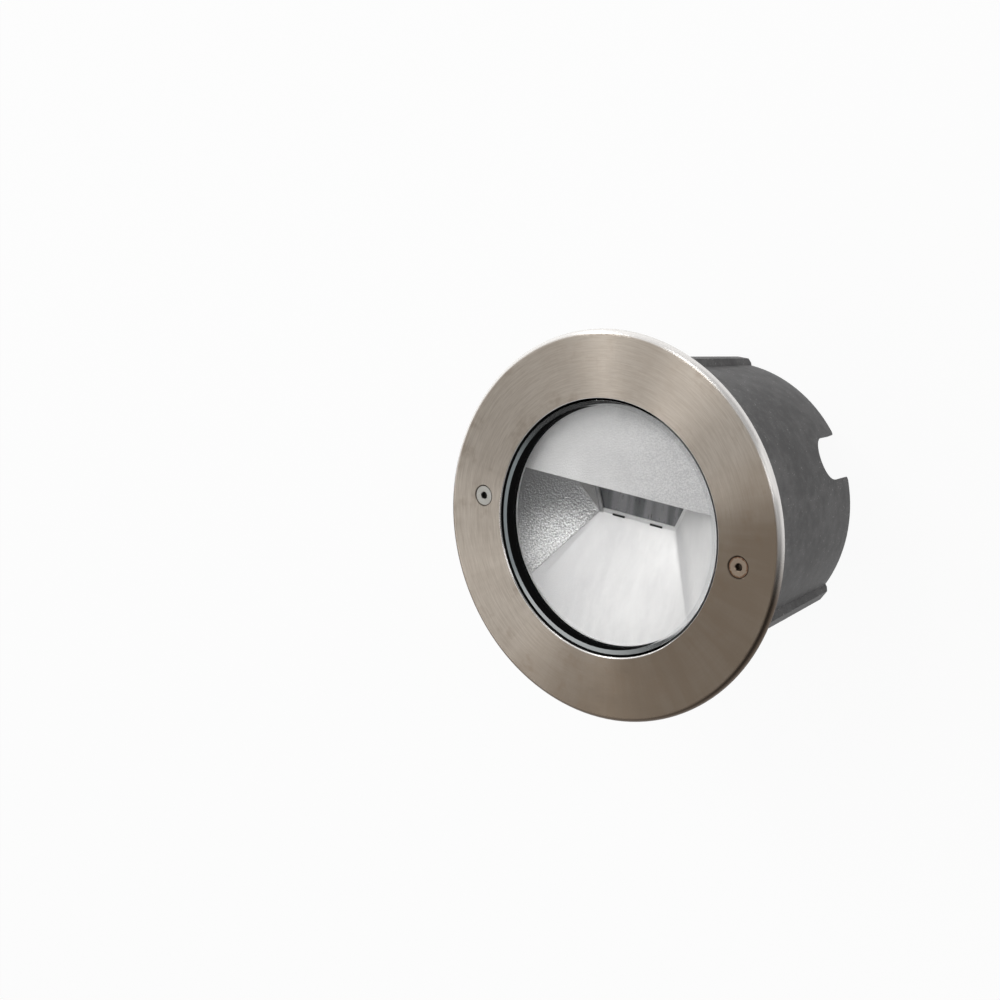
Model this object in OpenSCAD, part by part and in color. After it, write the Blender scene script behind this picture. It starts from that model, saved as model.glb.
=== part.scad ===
// Recessed in-ground well light with an asymmetric reflector, all lengths in millimetres.
// The origin is the centre of the sleeve's rear rim, +Z points out of the lens, +Y towards the hood.

/* [Overall] */
// Height from the sleeve's rear rim to the face of the trim ring
total_h = 116; // [108:1:150]

/* [Trim ring] */
// Outer diameter of the stainless trim ring
trim_d = 185; // [178:1:210]
// Thickness of the trim plate
trim_t = 3; // [2.75:0.25:4]
// Radius of the rounded outer edge
trim_edge_r = 2.7; // [1:0.1:2.7]
// Width of the trim's shallow rebate outside the sleeve's collar
rebate_gap = 0.3; // [0.2:0.05:0.6]
// Depth of that rebate, which centres the foam gasket
rebate_deep = 0.3; // [0.2:0.05:0.5]
// Width of the small break on the opening's edge
aperture_break = 0.4; // [0.2:0.1:0.8]
// Thickness of the foam gasket under the trim plate
trim_gasket_t = 1.1; // [0.8:0.1:1.8]

/* [Bezel screws] */
// Distance of the bezel screws' axes outside the canister's rim
screw_off = 1.8; // [1.4:0.1:3]
// Thread diameter
screw_d = 5; // [4.5:0.1:5.4]
// Length from the head's face to the tip
screw_l = 20; // [18.5:0.5:21.5]
// Diameter of the countersunk head
head_d = 9.4; // [8.8:0.1:9.8]
// Height of the straight land round the head
head_land = 0.3; // [0.1:0.1:0.4]
// How far the head lies below the trim's face
screw_sink = 0.3; // [0.2:0.05:0.4]
// Width across the flats of the hexagon socket
socket_af = 3; // [2.5:0.1:3.2]
// Depth of the hexagon socket
socket_deep = 2.2; // [1.6:0.1:2.4]
// Thickness of the washer that keeps the screw captive
washer_t = 1; // [0.6:0.1:1.4]
// Width of the washer's ring outside the screw
washer_w = 1.5; // [1.2:0.1:1.6]
// Height of the room in which the washer rises with the screw
captive_room = 8; // [7:0.25:9]

/* [Glass and its seal] */
// Width of the dark seal that shows round the reflector's mouth
seal_show_w = 4; // [3:0.1:5]
// Gap between the glass and the trim's opening
glass_gap = 1.2; // [0.8:0.1:1.6]
// Depth of the glass below the trim's face
glass_sink = 0.7; // [0.4:0.1:1.2]
// Full thickness of the stepped glass
glass_t = 10; // [9:0.5:12]
// Width of the step that the clamp ring holds down
glass_step_w = 3.3; // [2.8:0.1:4]
// Depth of the ground bevel round the face of the glass
glass_bevel = 0.6; // [0.4:0.1:1.5]
// Width of that bevel
glass_bevel_w = 1.6; // [1:0.1:2.4]
// Thickness of the seal outside the glass
seal_wall = 1.1; // [0.8:0.1:1.5]
// Thickness of the seal under the glass
seal_under_t = 1.3; // [1:0.1:1.8]
// Thickness of the seal over the glass step
seal_over_t = 0.6; // [0.4:0.1:0.9]
// Thickness of the clamp ring
clamp_t = 2.3; // [2:0.1:2.6]
// Number of screws in the clamp ring
clamp_screw_count = 6; // [6:4:10]

/* [Reflector] */
// Diameter of the reflector's round mouth
mouth_d = 114.2; // [110:0.2:126]
// Distance of the hood's straight edge from the axis
hood_edge_y = 17.3; // [12:0.5:20]
// Thickness of the hood plate
hood_t = 1; // [0.8:0.1:1.5]
// Depth of the reflector from the hood's underside to its floor
bowl_deep = 20.3; // [17:0.5:22]
// Wall of the reflector bowl
bowl_t = 1; // [0.8:0.1:1.3]
// Length of the straight fold at the front of the floor
fold_l = 44; // [38:1:48]
// Distance of that fold from the axis, towards the lower side
fold_y = 0.4; // [0:0.2:2]
// Distance of the floor's rear edge from the axis
floor_back_y = 36; // [35.5:0.5:37]
// Length of the floor's rear edge
floor_back_l = 71.6; // [68:0.5:73]
// Angle of the four folds where they meet the mouth
fold_angle = 37.9; // [36:0.1:40]
// Border of the reflector floor round the lamp window
window_border = 2; // [1.5:0.1:2.5]

/* [Lamp] */
// Thickness of the chassis plate under the reflector
chassis_t = 2; // [1.5:0.25:3]
// Distance of the lamp bracket's upright from the axis
bracket_y = 24; // [22:0.5:24.5]
// Thickness of the lamp bracket's metal
bracket_t = 1.5; // [1:0.1:2]
// Length of the lamp bracket
bracket_l = 46; // [42:1:50]
// Height of the lamp bracket's upright above the chassis plate
bracket_h = 16; // [15:0.5:17]
// Height of the lamp board
board_h = 11; // [9:0.5:12]
// Thickness of the lamp board
board_t = 1.6; // [1:0.1:2]
// Edge of one square lamp chip
chip_w = 3; // [2:0.1:3.5]
// Height of one lamp chip off its board
chip_t = 0.7; // [0.5:0.1:1]
// Distance between neighbouring lamp chips
chip_pitch = 7; // [6:0.2:7.4]

/* [Canister] */
// Height of the canister from its flange's seat to its base
canister_h = 67.2; // [60:0.2:76]
// Wall of the cast canister
canister_wall = 3; // [2.5:0.1:3.4]
// Floor of the cast canister
canister_floor = 4; // [3:0.25:5]
// Thickness of the flange that hangs in the sleeve
flange_t = 3; // [2.5:0.25:4]
// Width of the rim that carries the clamp ring
rim_wall = 5.8; // [5.6:0.1:6.2]
// Flange metal outside the bezel screws' pitch circle
flange_edge = 5; // [4.8:0.1:6]
// Inward draft of the canister's wall over its height
canister_draft = 1.2; // [0.6:0.1:2]
// Thickness of one cooling fin
fin_t = 2.4; // [1.8:0.1:3]
// Width by which the fins stand out from the wall
fin_w = 4.5; // [3:0.25:5]
// Number of cooling fins
fin_count = 12; // [12:4:20]

/* [Control gear] */
// Length of the driver over its ears
driver_l = 78; // [70:1:80]
// Width of the driver
driver_w = 42; // [36:1:43]
// Height of the driver
driver_h = 23; // [18:0.5:24]
// Length of the terminal block
terminal_l = 26; // [22:1:27]
// Width of the terminal block
terminal_w = 14; // [12:0.5:15]
// Height of the terminal block
terminal_h = 14; // [10:0.5:16]

/* [Cable gland] */
// Thread diameter of the gland
gland_d = 16; // [14:0.5:17]
// Width across the flats of the gland's hexagons
gland_af = 20; // [19.5:0.5:21]
// Cable diameter that the gland's seal grips
cable_d = 8; // [6:0.5:8.5]
// Length of the gland's dome nut
gland_nut_l = 14; // [13:0.5:15]

/* [Installation sleeve] */
// Room between the canister's fins and the sleeve
sleeve_air = 5; // [4.5:0.1:5.5]
// Inward draft of the sleeve from its collar to its rear rim
sleeve_draft = 3.5; // [2.5:0.1:4.5]
// Wall of the sleeve
sleeve_wall = 2.6; // [2.2:0.1:2.8]
// Wall of the collar round the canister's flange
collar_wall = 2.8; // [2.4:0.1:3.6]
// Radial gap in which the canister lifts out
lift_gap = 0.4; // [0.3:0.05:0.5]
// Height of the ribs at the rear rim
rib_rear_h = 3.3; // [2.9:0.1:3.8]
// Height of the ribs under the collar
rib_top_h = 4.2; // [3.8:0.1:4.8]
// Width of a rib's flat crest
rib_crest_w = 6.2; // [5:0.2:8]
// Width that a rib gains from its crest to the bore of the sleeve
rib_flank_w = 4; // [3:0.2:5]
// Chamfer at the rear end of the ribs
rib_chamfer = 2; // [1:0.25:3]
// Width of the cable notches
notch_w = 22; // [18:0.5:24]
// Depth of the cable notches
notch_h = 26.6; // [22:0.5:28]
// Rounding of the corners at a notch's mouth
notch_round = 2.2; // [1:0.2:3]
// Height of the steeper band at the sleeve's rear rim
relief_h = 7; // [4:0.5:10]
// Length of the threaded inserts
insert_l = 7.5; // [7:0.25:8.5]
// Wall of the threaded inserts
insert_wall = 0.9; // [0.7:0.05:1]

/* [Hidden] */
$fn = 96;

// Overrun of every cut, radial clearance of running fits, fixed fits and bolt holes
over = 1;
run_fit = 0.05;
fixed_fit = 0.1;
bolt_fit = 0.25;
seat_gap = 0.3;

// Levels, from the face down
face_z = total_h;
trim_under_z = face_z - trim_t;
collar_top_z = trim_under_z + rebate_deep - trim_gasket_t;
rim_top_z = collar_top_z - clamp_t;
shoulder_z = rim_top_z - seal_over_t;
glass_top_z = face_z - glass_sink;
glass_under_z = glass_top_z - glass_t;
hood_top_z = glass_under_z - seal_under_t;
mouth_z = hood_top_z - hood_t;
ledge_z = mouth_z - bowl_t;
flange_top_z = collar_top_z - captive_room;
seat_z = flange_top_z - flange_t;
bowl_floor_z = mouth_z - bowl_deep;
chassis_top_z = bowl_floor_z - bowl_t;
chassis_under_z = chassis_top_z - chassis_t;
base_z = seat_z - canister_h;
floor_z = base_z + canister_floor;

// Radii, from the axis out
mouth_r = mouth_d / 2;
seal_lip = 1;
seal_in_r = mouth_r + seal_lip;
bowl_side_t = bowl_t + fixed_fit;
ledge_r = mouth_r + bowl_side_t + seal_lip / 2;
aperture_r = mouth_r + seal_show_w;
clamp_in_r = aperture_r + seat_gap;
glass_r = aperture_r - glass_gap;
glass_step_r = glass_r + glass_step_w;
seal_r = glass_step_r + seal_wall;
pocket_r = seal_r + fixed_fit;
rim_r = pocket_r + rim_wall;
plate_r = pocket_r - lift_gap;
screw_x = rim_r + screw_off;
flange_r = screw_x + flange_edge;
nest_r = flange_r + lift_gap;
collar_r = nest_r + collar_wall;
rebate_r = collar_r + rebate_gap;
trim_r = trim_d / 2;
sink_r = head_d / 2 + head_land + screw_sink + run_fit;

// Small screws: M3 for the clamp ring, M3 pan heads inside
small_screw_r = 1.5;
small_screw_l = 8;
small_head_r = 2.6;
small_head_land = 0.1;
small_slot_af = 2;
small_slot_deep = 1.1;
clamp_screw_r = (pocket_r + rim_r) / 2;
clamp_screw_sink = 0.2;
clamp_sink_r = small_head_r + small_head_land + clamp_screw_sink + run_fit;
pan_head_r_share = 1.85;
pan_head_h_share = 1.25;
pan_socket_share = 1.3;

// Outline of a countersunk screw: head face at z = 0, tip below
module countersunk_screw(shank_r, head_r, land, length, af, deep) {
    tip = shank_r / 5;
    difference() {
        rotate_extrude()
            polygon([[0, 0], [head_r, 0], [head_r, -land], [shank_r, shank_r - head_r - land],
                [shank_r, tip - length], [shank_r - tip, -length], [0, -length]]);
        translate([0, 0, -deep]) hexagon(af, deep + over);
        translate([0, 0, -tip]) cylinder(r1 = af / 2, r2 = af / 2 + tip + over, h = tip + over);
    }
}

// Countersunk hole: the plate's face at z = 0, the hole below
module countersunk_hole(hole_r, sink_r, depth) {
    translate([0, 0, -depth - over]) cylinder(r = hole_r, h = depth + 2 * over);
    translate([0, 0, hole_r - sink_r]) cylinder(r1 = hole_r, r2 = sink_r, h = sink_r - hole_r);
    cylinder(r = sink_r, h = over);
}

// Pan head screw: the head's underside at z = 0, the shank below
module pan_screw(shank_r, length) {
    head_r = shank_r * pan_head_r_share;
    head_h = shank_r * pan_head_h_share;
    dome = head_h / 2;
    difference() {
        union() {
            translate([0, 0, -length]) cylinder(r = shank_r, h = length);
            rotate_extrude()
                polygon([[0, 0], [head_r, 0], [head_r, head_h - dome], [head_r - dome, head_h], [0, head_h]]);
        }
        translate([0, 0, head_h / 2]) hexagon(shank_r * pan_socket_share, head_h);
    }
}

module hexagon(af, h) {
    cylinder(r = af / sqrt(3), h = h, $fn = 6);
}

module ring(outer_r, inner_r, h) {
    difference() {
        cylinder(r = outer_r, h = h);
        translate([0, 0, -over]) cylinder(r = inner_r, h = h + 2 * over);
    }
}

module both_sides() {
    for (turn = [0, 180]) rotate([0, 0, turn]) children();
}

// Installation sleeve: one drafted moulding, open at both ends
canister_top_r = ledge_r + canister_wall + seal_lip;
sleeve_top_r = canister_top_r + fin_w + sleeve_air + sleeve_wall;
sleeve_rear_r = sleeve_top_r - sleeve_draft;
boss_floor = 1.5;
boss_bottom_z = seat_z - insert_l - boss_floor;
sleeve_top_z = boss_bottom_z - (collar_r - sleeve_top_r);
insert_r = screw_d / 2 + run_fit + insert_wall;
boss_wall = 2;
boss_r = insert_r + boss_wall;
collar_break = 0.5;
rib_angles = [90, 210, 330];
notch_angles = [30, 150, 270];
relief_sink = 0.5;
relief_r = sleeve_rear_r + sleeve_draft * relief_h / sleeve_top_z + relief_sink;
rib_rear_r = sleeve_rear_r + rib_rear_h;
rib_lean = atan((sleeve_top_r + rib_top_h - rib_rear_r) / sleeve_top_z);
rib_root = 8;

module sleeve_outline() {
    polygon([[0, 0], [sleeve_rear_r, 0], [relief_r, relief_h], [sleeve_top_r, sleeve_top_z],
        [collar_r, boss_bottom_z], [collar_r, collar_top_z - collar_break],
        [collar_r - collar_break, collar_top_z], [0, collar_top_z]]);
}

module sleeve_bore() {
    polygon([[0, -over], [sleeve_rear_r - sleeve_wall, -over], [sleeve_rear_r - sleeve_wall, 0],
        [sleeve_top_r - sleeve_wall, sleeve_top_z], [sleeve_top_r - sleeve_wall, seat_z],
        [nest_r, seat_z], [nest_r, collar_top_z + over], [0, collar_top_z + over]]);
}

// One rib: its crest follows the draft, its flanks widen towards the wall
module sleeve_rib() {
    flank = rib_flank_w / 2 * rib_root / (rib_rear_r - sleeve_rear_r + sleeve_wall);
    rise = boss_bottom_z - over;
    out_r = collar_r + over;
    intersection() {
        translate([rib_rear_r, 0, 0]) rotate([0, rib_lean, 0]) translate([0, 0, -over])
            linear_extrude(rise + 2 * over)
                polygon([[0, -rib_crest_w / 2], [0, rib_crest_w / 2],
                    [-rib_root, rib_crest_w / 2 + flank], [-rib_root, -rib_crest_w / 2 - flank]]);
        rotate_extrude()
            polygon([[0, 0], [rib_rear_r - rib_chamfer, 0], [out_r, rib_chamfer + out_r - rib_rear_r],
                [out_r, rise], [0, rise]]);
    }
}

// Outline of a cable notch, its mouth at y = 0 and its round end up
module notch_outline() {
    notch_r = notch_w / 2;
    translate([0, notch_h - notch_r]) circle(r = notch_r);
    translate([-notch_r, -over]) square([notch_w, notch_h - notch_r + over]);
    difference() {
        translate([-notch_r - notch_round, -over]) square([notch_w + 2 * notch_round, notch_round + over]);
        for (side = [-1, 1]) translate([side * (notch_r + notch_round), notch_round]) circle(r = notch_round);
    }
}

module installation_sleeve() {
    color([0.36, 0.36, 0.37]) difference() {
        union() {
            rotate_extrude() sleeve_outline();
            for (turn = rib_angles) rotate([0, 0, turn]) sleeve_rib();
        }
        difference() {
            rotate_extrude() sleeve_bore();
            both_sides() translate([screw_x, 0, boss_bottom_z])
                cylinder(r = boss_r, h = seat_z - boss_bottom_z);
        }
        both_sides() translate([screw_x, 0, seat_z - insert_l]) cylinder(r = insert_r, h = insert_l + over);
        for (turn = notch_angles) rotate([90, 0, turn + 90]) translate([0, 0, sleeve_rear_r - 2 * rib_root])
            linear_extrude(3 * rib_root) notch_outline();
    }
}

module threaded_inserts() {
    color([0.78, 0.62, 0.32]) both_sides() translate([screw_x, 0, seat_z - insert_l])
        ring(insert_r, screw_d / 2 + run_fit, insert_l);
}

// Canister: casting with a flange, a glass pocket, fins and a flat floor
canister_base_r = canister_top_r - canister_draft;
wall_top_z = seat_z - canister_wall;
ledge_root_z = ledge_z - canister_wall - over;
post_r = 4.5;
post_place_r = canister_base_r - canister_wall - post_r + canister_draft + over;
post_angles = [90, 210, 330];
gland_place_share = 0.64;
gland_y = canister_base_r * gland_place_share;
gland_r = gland_d / 2;
gland_pad_t = 1.5;
gland_pad_edge = 0.85;
breather_r = 6;
breather_place_shares = [-0.62, -0.26];
breather_place = canister_base_r * breather_place_shares;
earth_place_shares = [-0.38, -0.42];
earth_place = canister_base_r * earth_place_shares;
earth_boss_h = 5;
earth_screw_r = 2;
scallop_r = screw_d / 2 + washer_w + lift_gap;
base_rib_t = 3;
base_rib_h = 2;
base_ring_share = 0.36;
base_ring_r = canister_base_r * base_ring_share;
base_spoke_share = 0.92;
base_spoke_angles = [0, 45, 90, 135, 180, 225, 315];
driver_front_share = 0.1;
driver_place_y = driver_w / 2 - canister_base_r * driver_front_share;
driver_screw_inset = 5;
driver_post_x = driver_l / 2 - driver_screw_inset;
gusset_run_share = 0.6;
gusset_rise_share = 0.7;
gusset_angles = [20, 55, 90, 125, 160, 200, 235, 270, 305, 340];

module canister_outline() {
    inner_top_r = canister_top_r - canister_wall;
    inner_base_r = canister_base_r - canister_wall;
    polygon([[0, base_z], [canister_base_r - over, base_z], [canister_base_r, base_z + over],
        [canister_top_r, wall_top_z], [canister_top_r + canister_wall, seat_z],
        [flange_r, seat_z], [flange_r, flange_top_z], [rim_r, flange_top_z], [rim_r, rim_top_z],
        [pocket_r, rim_top_z], [pocket_r, ledge_z], [ledge_r, ledge_z], [ledge_r, ledge_root_z],
        [inner_top_r, ledge_root_z - (inner_top_r - ledge_r)], [inner_base_r, floor_z], [0, floor_z]]);
}

module canister_fins() {
    fin_out_r = canister_top_r + fin_w;
    fin_in_r = canister_base_r - canister_wall / 2;
    fin_foot_z = base_z + 2 * canister_floor;
    fin_top_z = min(seat_z + flange_t / 2, ledge_z - fixed_fit);
    for (i = [0:fin_count - 1]) rotate([0, 0, (i + 0.5) * 360 / fin_count])
        translate([fin_in_r, -fin_t / 2, fin_foot_z])
            cube([fin_out_r - fin_in_r, fin_t, fin_top_z - fin_foot_z]);
}

module canister_gussets() {
    run = (flange_r - rim_r) * gusset_run_share;
    rise = (rim_top_z - flange_top_z) * gusset_rise_share;
    for (turn = gusset_angles) rotate([90, 0, turn]) translate([0, 0, -base_rib_t / 2])
        linear_extrude(base_rib_t)
            polygon([[rim_r - over, flange_top_z - over], [rim_r + run, flange_top_z - over],
                [rim_r + run, flange_top_z], [rim_r, flange_top_z + rise],
                [rim_r - over, flange_top_z + rise]]);
}

module canister_base_ribs() {
    translate([0, 0, base_z - base_rib_h]) ring(base_ring_r + base_rib_t, base_ring_r, base_rib_h + over);
    for (turn = base_spoke_angles) rotate([0, 0, turn])
        translate([base_ring_r + over, -base_rib_t / 2, base_z - base_rib_h])
            cube([canister_base_r * base_spoke_share - base_ring_r, base_rib_t, base_rib_h + over]);
    translate([0, -gland_y, base_z - gland_pad_t])
        cylinder(r = gland_af / sqrt(3) + gland_pad_edge, h = gland_pad_t + over);
    translate([breather_place.x, breather_place.y, base_z - gland_pad_t])
        cylinder(r = breather_r * 1.5, h = gland_pad_t + over);
}

module canister() {
    color([0.15, 0.15, 0.16]) difference() {
        union() {
            rotate_extrude() canister_outline();
            canister_fins();
            canister_gussets();
            canister_base_ribs();
            for (turn = post_angles) rotate([0, 0, turn]) translate([post_place_r, 0, floor_z - over])
                cylinder(r = post_r, h = chassis_under_z - floor_z + over);
            translate([earth_place.x, earth_place.y, floor_z - over])
                cylinder(r = 2 * earth_screw_r, h = earth_boss_h + over);
        }
        both_sides() translate([screw_x, 0, flange_top_z]) {
            translate([0, 0, -flange_t - over]) cylinder(r = screw_d / 2 + bolt_fit, h = flange_t + 2 * over);
            cylinder(r = scallop_r, h = rim_top_z - flange_top_z + over);
        }
        translate([0, -gland_y, base_z - canister_floor])
            cylinder(r = gland_r + run_fit, h = 3 * canister_floor);
        translate([breather_place.x, breather_place.y, base_z - canister_floor])
            cylinder(r = breather_r + run_fit, h = 3 * canister_floor);
        for (i = [0:clamp_screw_count - 1]) rotate([0, 0, (i + 0.5) * 360 / clamp_screw_count])
            translate([clamp_screw_r, 0, rim_top_z - small_screw_l])
                cylinder(r = small_screw_r + run_fit, h = small_screw_l + over);
        for (turn = post_angles) rotate([0, 0, turn])
            translate([post_place_r, 0, chassis_under_z - small_screw_l])
                cylinder(r = small_screw_r + run_fit, h = small_screw_l + over);
        translate([earth_place.x, earth_place.y, floor_z])
            cylinder(r = earth_screw_r + run_fit, h = 2 * earth_boss_h);
        translate([0, driver_place_y, floor_z - canister_floor / 2]) both_sides()
            translate([driver_post_x, 0, 0]) cylinder(r = small_screw_r + run_fit, h = canister_floor);
    }
}

// Stepped glass: the upper disc is flush in the trim, the wider foot is clamped
module lens_glass() {
    edge = glass_bevel / 2;
    color([0.75, 0.85, 0.82, 0.35]) rotate_extrude()
        polygon([[0, glass_under_z], [glass_step_r - edge, glass_under_z],
            [glass_step_r, glass_under_z + edge], [glass_step_r, shoulder_z], [glass_r, shoulder_z],
            [glass_r, glass_top_z - glass_bevel], [glass_r - glass_bevel_w, glass_top_z], [0, glass_top_z]]);
}

// Seal with a U section that wraps the foot of the glass
module lens_gasket() {
    color([0.06, 0.06, 0.06]) rotate_extrude()
        polygon([[seal_in_r, hood_top_z], [seal_r, hood_top_z], [seal_r, rim_top_z], [clamp_in_r, rim_top_z],
            [clamp_in_r, shoulder_z], [glass_step_r, shoulder_z], [glass_step_r, glass_under_z],
            [seal_in_r, glass_under_z]]);
}

module clamp_ring() {
    color([0.1, 0.1, 0.1]) translate([0, 0, rim_top_z]) difference() {
        ring(rim_r, clamp_in_r, clamp_t);
        both_sides() translate([screw_x, 0, -over]) cylinder(r = scallop_r, h = clamp_t + 2 * over);
        for (i = [0:clamp_screw_count - 1]) rotate([0, 0, (i + 0.5) * 360 / clamp_screw_count])
            translate([clamp_screw_r, 0, clamp_t])
                countersunk_hole(small_screw_r + fixed_fit, clamp_sink_r, clamp_t);
    }
}

module clamp_screws() {
    color([0.7, 0.7, 0.7]) for (i = [0:clamp_screw_count - 1])
        rotate([0, 0, (i + 0.5) * 360 / clamp_screw_count])
            translate([clamp_screw_r, 0, collar_top_z - clamp_screw_sink])
                countersunk_screw(small_screw_r, small_head_r, small_head_land, small_screw_l,
                    small_slot_af, small_slot_deep);
}

// Hood: a flat plate over the rear half of the reflector, with a D-shaped opening
module reflector_hood() {
    color([0.86, 0.87, 0.88]) translate([0, 0, mouth_z]) difference() {
        cylinder(r = plate_r, h = hood_t);
        intersection() {
            translate([0, 0, -over]) cylinder(r = mouth_r, h = hood_t + 2 * over);
            translate([-plate_r, hood_edge_y - 2 * plate_r, -over])
                cube([2 * plate_r, 2 * plate_r, hood_t + 2 * over]);
        }
    }
}

// Reflector bowl: ruled panels and part cones lead from a folded floor to the round mouth.
// The mouth has four arcs, and each panel starts at one stretch of the floor's outline.
bowl_steps = 18;
arc_starts = [-fold_angle, fold_angle, 180 - fold_angle, 180 + fold_angle];
arc_spans = [2 * fold_angle, 180 - 2 * fold_angle, 2 * fold_angle, 180 - 2 * fold_angle];
floor_corners = [[fold_l / 2, -fold_y], [floor_back_l / 2, floor_back_y],
    [-floor_back_l / 2, floor_back_y], [-fold_l / 2, -fold_y]];

function mix(from, to, share) = from + (to - from) * share;
function on_circle(r, turn, z) = [r * cos(turn), r * sin(turn), z];
function mouth_turn(i) = let (arc = floor(i / bowl_steps))
    arc_starts[arc] + arc_spans[arc] * (i % bowl_steps) / bowl_steps;
function mouth_loop(r, z) = [for (i = [0:4 * bowl_steps - 1]) on_circle(r, mouth_turn(i), z)];
function floor_loop(corners, z) = [for (p = concat(
    [corners[0]],
    [for (j = [0:bowl_steps]) mix(corners[1], corners[2], j / bowl_steps)],
    [for (j = [0:bowl_steps - 1]) mix(corners[3], corners[0], j / bowl_steps)])) [p.x, p.y, z]];
function turned(faces) = [for (f = faces) [for (k = [len(f) - 1:-1:0]) f[k]]];

// Triangles from the mouth's ring of points, first at index m, to the floor's, first at index f
function bowl_faces(m, f) = let (n = bowl_steps, mouth_n = 4 * n, floor_n = 2 * n + 2, left = n + 2) concat(
    [for (i = [0:n - 1]) [f, m + i + 1, m + i]],
    [[m + n, f, f + 1]],
    [for (i = [0:n - 1]) [f + 1 + i, m + n + i + 1, m + n + i]],
    [for (i = [0:n - 1]) [m + n + i + 1, f + 1 + i, f + 2 + i]],
    [[m + 2 * n, f + n + 1, f + left]],
    [for (i = [0:n - 1]) [f + left, m + 2 * n + i + 1, m + 2 * n + i]],
    [for (i = [0:n - 1]) [f + left + i, m + (3 * n + i + 1) % mouth_n, m + 3 * n + i]],
    [for (i = [0:n - 1]) [m + (3 * n + i + 1) % mouth_n, f + left + i, f + (left + i + 1) % floor_n]]);

// Quads between two loops of count points that start at indices a and b
function loop_faces(a, b, count) =
    [for (i = [0:count - 1]) [a + i, a + (i + 1) % count, b + (i + 1) % count, b + i]];

// Half width of the floor's outline at a distance y behind the axis
function floor_half(y) = mix(fold_l, floor_back_l, (y + fold_y) / (floor_back_y + fold_y)) / 2;

module reflector_bowl() {
    mouth_n = 4 * bowl_steps;
    floor_n = 2 * bowl_steps + 2;
    front = window_border - fold_y;
    back = floor_back_y - window_border;
    window = [[floor_half(front) - window_border, front], [floor_half(back) - window_border, back],
        [window_border - floor_half(back), back], [window_border - floor_half(front), front]];
    side = mouth_n + floor_n;
    top_rim = 2 * side;
    under_rim = top_rim + mouth_n;
    top_window = under_rim + mouth_n;
    under_window = top_window + floor_n;
    color([0.82, 0.83, 0.84]) polyhedron(
        concat(mouth_loop(mouth_r, mouth_z), floor_loop(floor_corners, bowl_floor_z),
            mouth_loop(mouth_r + bowl_side_t, ledge_z), floor_loop(floor_corners, chassis_top_z),
            mouth_loop(plate_r, mouth_z), mouth_loop(plate_r, ledge_z),
            floor_loop(window, bowl_floor_z), floor_loop(window, chassis_top_z)),
        concat(bowl_faces(0, mouth_n), turned(bowl_faces(side, side + mouth_n)),
            loop_faces(0, top_rim, mouth_n), loop_faces(top_rim, under_rim, mouth_n),
            loop_faces(under_rim, side, mouth_n), loop_faces(side + mouth_n, under_window, floor_n),
            loop_faces(under_window, top_window, floor_n), loop_faces(top_window, mouth_n, floor_n)));
}

// Chassis plate: carries the lamp and is the dark floor seen through the lamp window
bracket_foot_l = 9;
bracket_screw_shares = [0.36, 0.6];
bracket_screw_x = bracket_l * bracket_screw_shares.x;
bracket_screw_y = bracket_y + bracket_foot_l * bracket_screw_shares.y;

module chassis_plate() {
    chassis_r = canister_base_r - canister_wall - lift_gap;
    lead_notch_r = post_r;
    color([0.42, 0.43, 0.45]) translate([0, 0, chassis_under_z]) difference() {
        cylinder(r = chassis_r, h = chassis_t);
        for (turn = post_angles) rotate([0, 0, turn]) translate([post_place_r, 0, -over])
            cylinder(r = small_screw_r + fixed_fit, h = chassis_t + 2 * over);
        for (side = [-1, 1]) translate([side * bracket_screw_x, bracket_screw_y, -over])
            cylinder(r = small_screw_r + run_fit, h = chassis_t + 2 * over);
        translate([chassis_r, 0, -over]) cylinder(r = lead_notch_r, h = chassis_t + 2 * over);
    }
}

module chassis_screws() {
    color([0.7, 0.7, 0.72]) for (turn = post_angles) rotate([0, 0, turn])
        translate([post_place_r, 0, chassis_top_z]) pan_screw(small_screw_r, small_screw_l);
}

// Lamp bracket: an angle that stands behind the hood's edge
module lamp_bracket() {
    color([0.75, 0.76, 0.78]) difference() {
        translate([-bracket_l / 2, 0, 0]) rotate([90, 0, 90]) linear_extrude(bracket_l)
            polygon([[bracket_y, chassis_top_z], [bracket_y + bracket_foot_l, chassis_top_z],
                [bracket_y + bracket_foot_l, chassis_top_z + bracket_t],
                [bracket_y + bracket_t, chassis_top_z + bracket_t],
                [bracket_y + bracket_t, chassis_top_z + bracket_h], [bracket_y, chassis_top_z + bracket_h]]);
        for (side = [-1, 1]) translate([side * bracket_screw_x, bracket_screw_y, chassis_top_z - over])
            cylinder(r = small_screw_r + fixed_fit, h = bracket_t + 2 * over);
    }
}

module bracket_screws() {
    color([0.7, 0.7, 0.72]) for (side = [-1, 1])
        translate([side * bracket_screw_x, bracket_screw_y, chassis_top_z + bracket_t])
            pan_screw(small_screw_r, bracket_t + chassis_t);
}

board_z = chassis_top_z + bracket_h - board_h - bracket_t;
chip_count = 6;

module lamp_board() {
    board_l = bracket_l - 2 * bracket_t;
    color([0.92, 0.93, 0.9]) translate([-board_l / 2, bracket_y - board_t, board_z])
        cube([board_l, board_t, board_h]);
}

module lamp_chips() {
    color([0.95, 0.85, 0.45]) for (i = [0:chip_count - 1])
        translate([(i - (chip_count - 1) / 2) * chip_pitch - chip_w / 2, bracket_y - board_t - chip_t,
            board_z + board_h / 2 - chip_w / 2]) cube([chip_w, chip_t, chip_w]);
}

// Control gear on the canister's floor
driver_ear_l = 8;
driver_ear_t = 2;
driver_round = 3;

module rounded_box(l, w, h, r) {
    linear_extrude(h) union() {
        translate([-l / 2 + r, -w / 2]) square([l - 2 * r, w]);
        translate([-l / 2, -w / 2 + r]) square([l, w - 2 * r]);
        for (sx = [-1, 1], sy = [-1, 1]) translate([sx * (l / 2 - r), sy * (w / 2 - r)]) circle(r = r);
    }
}

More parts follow.
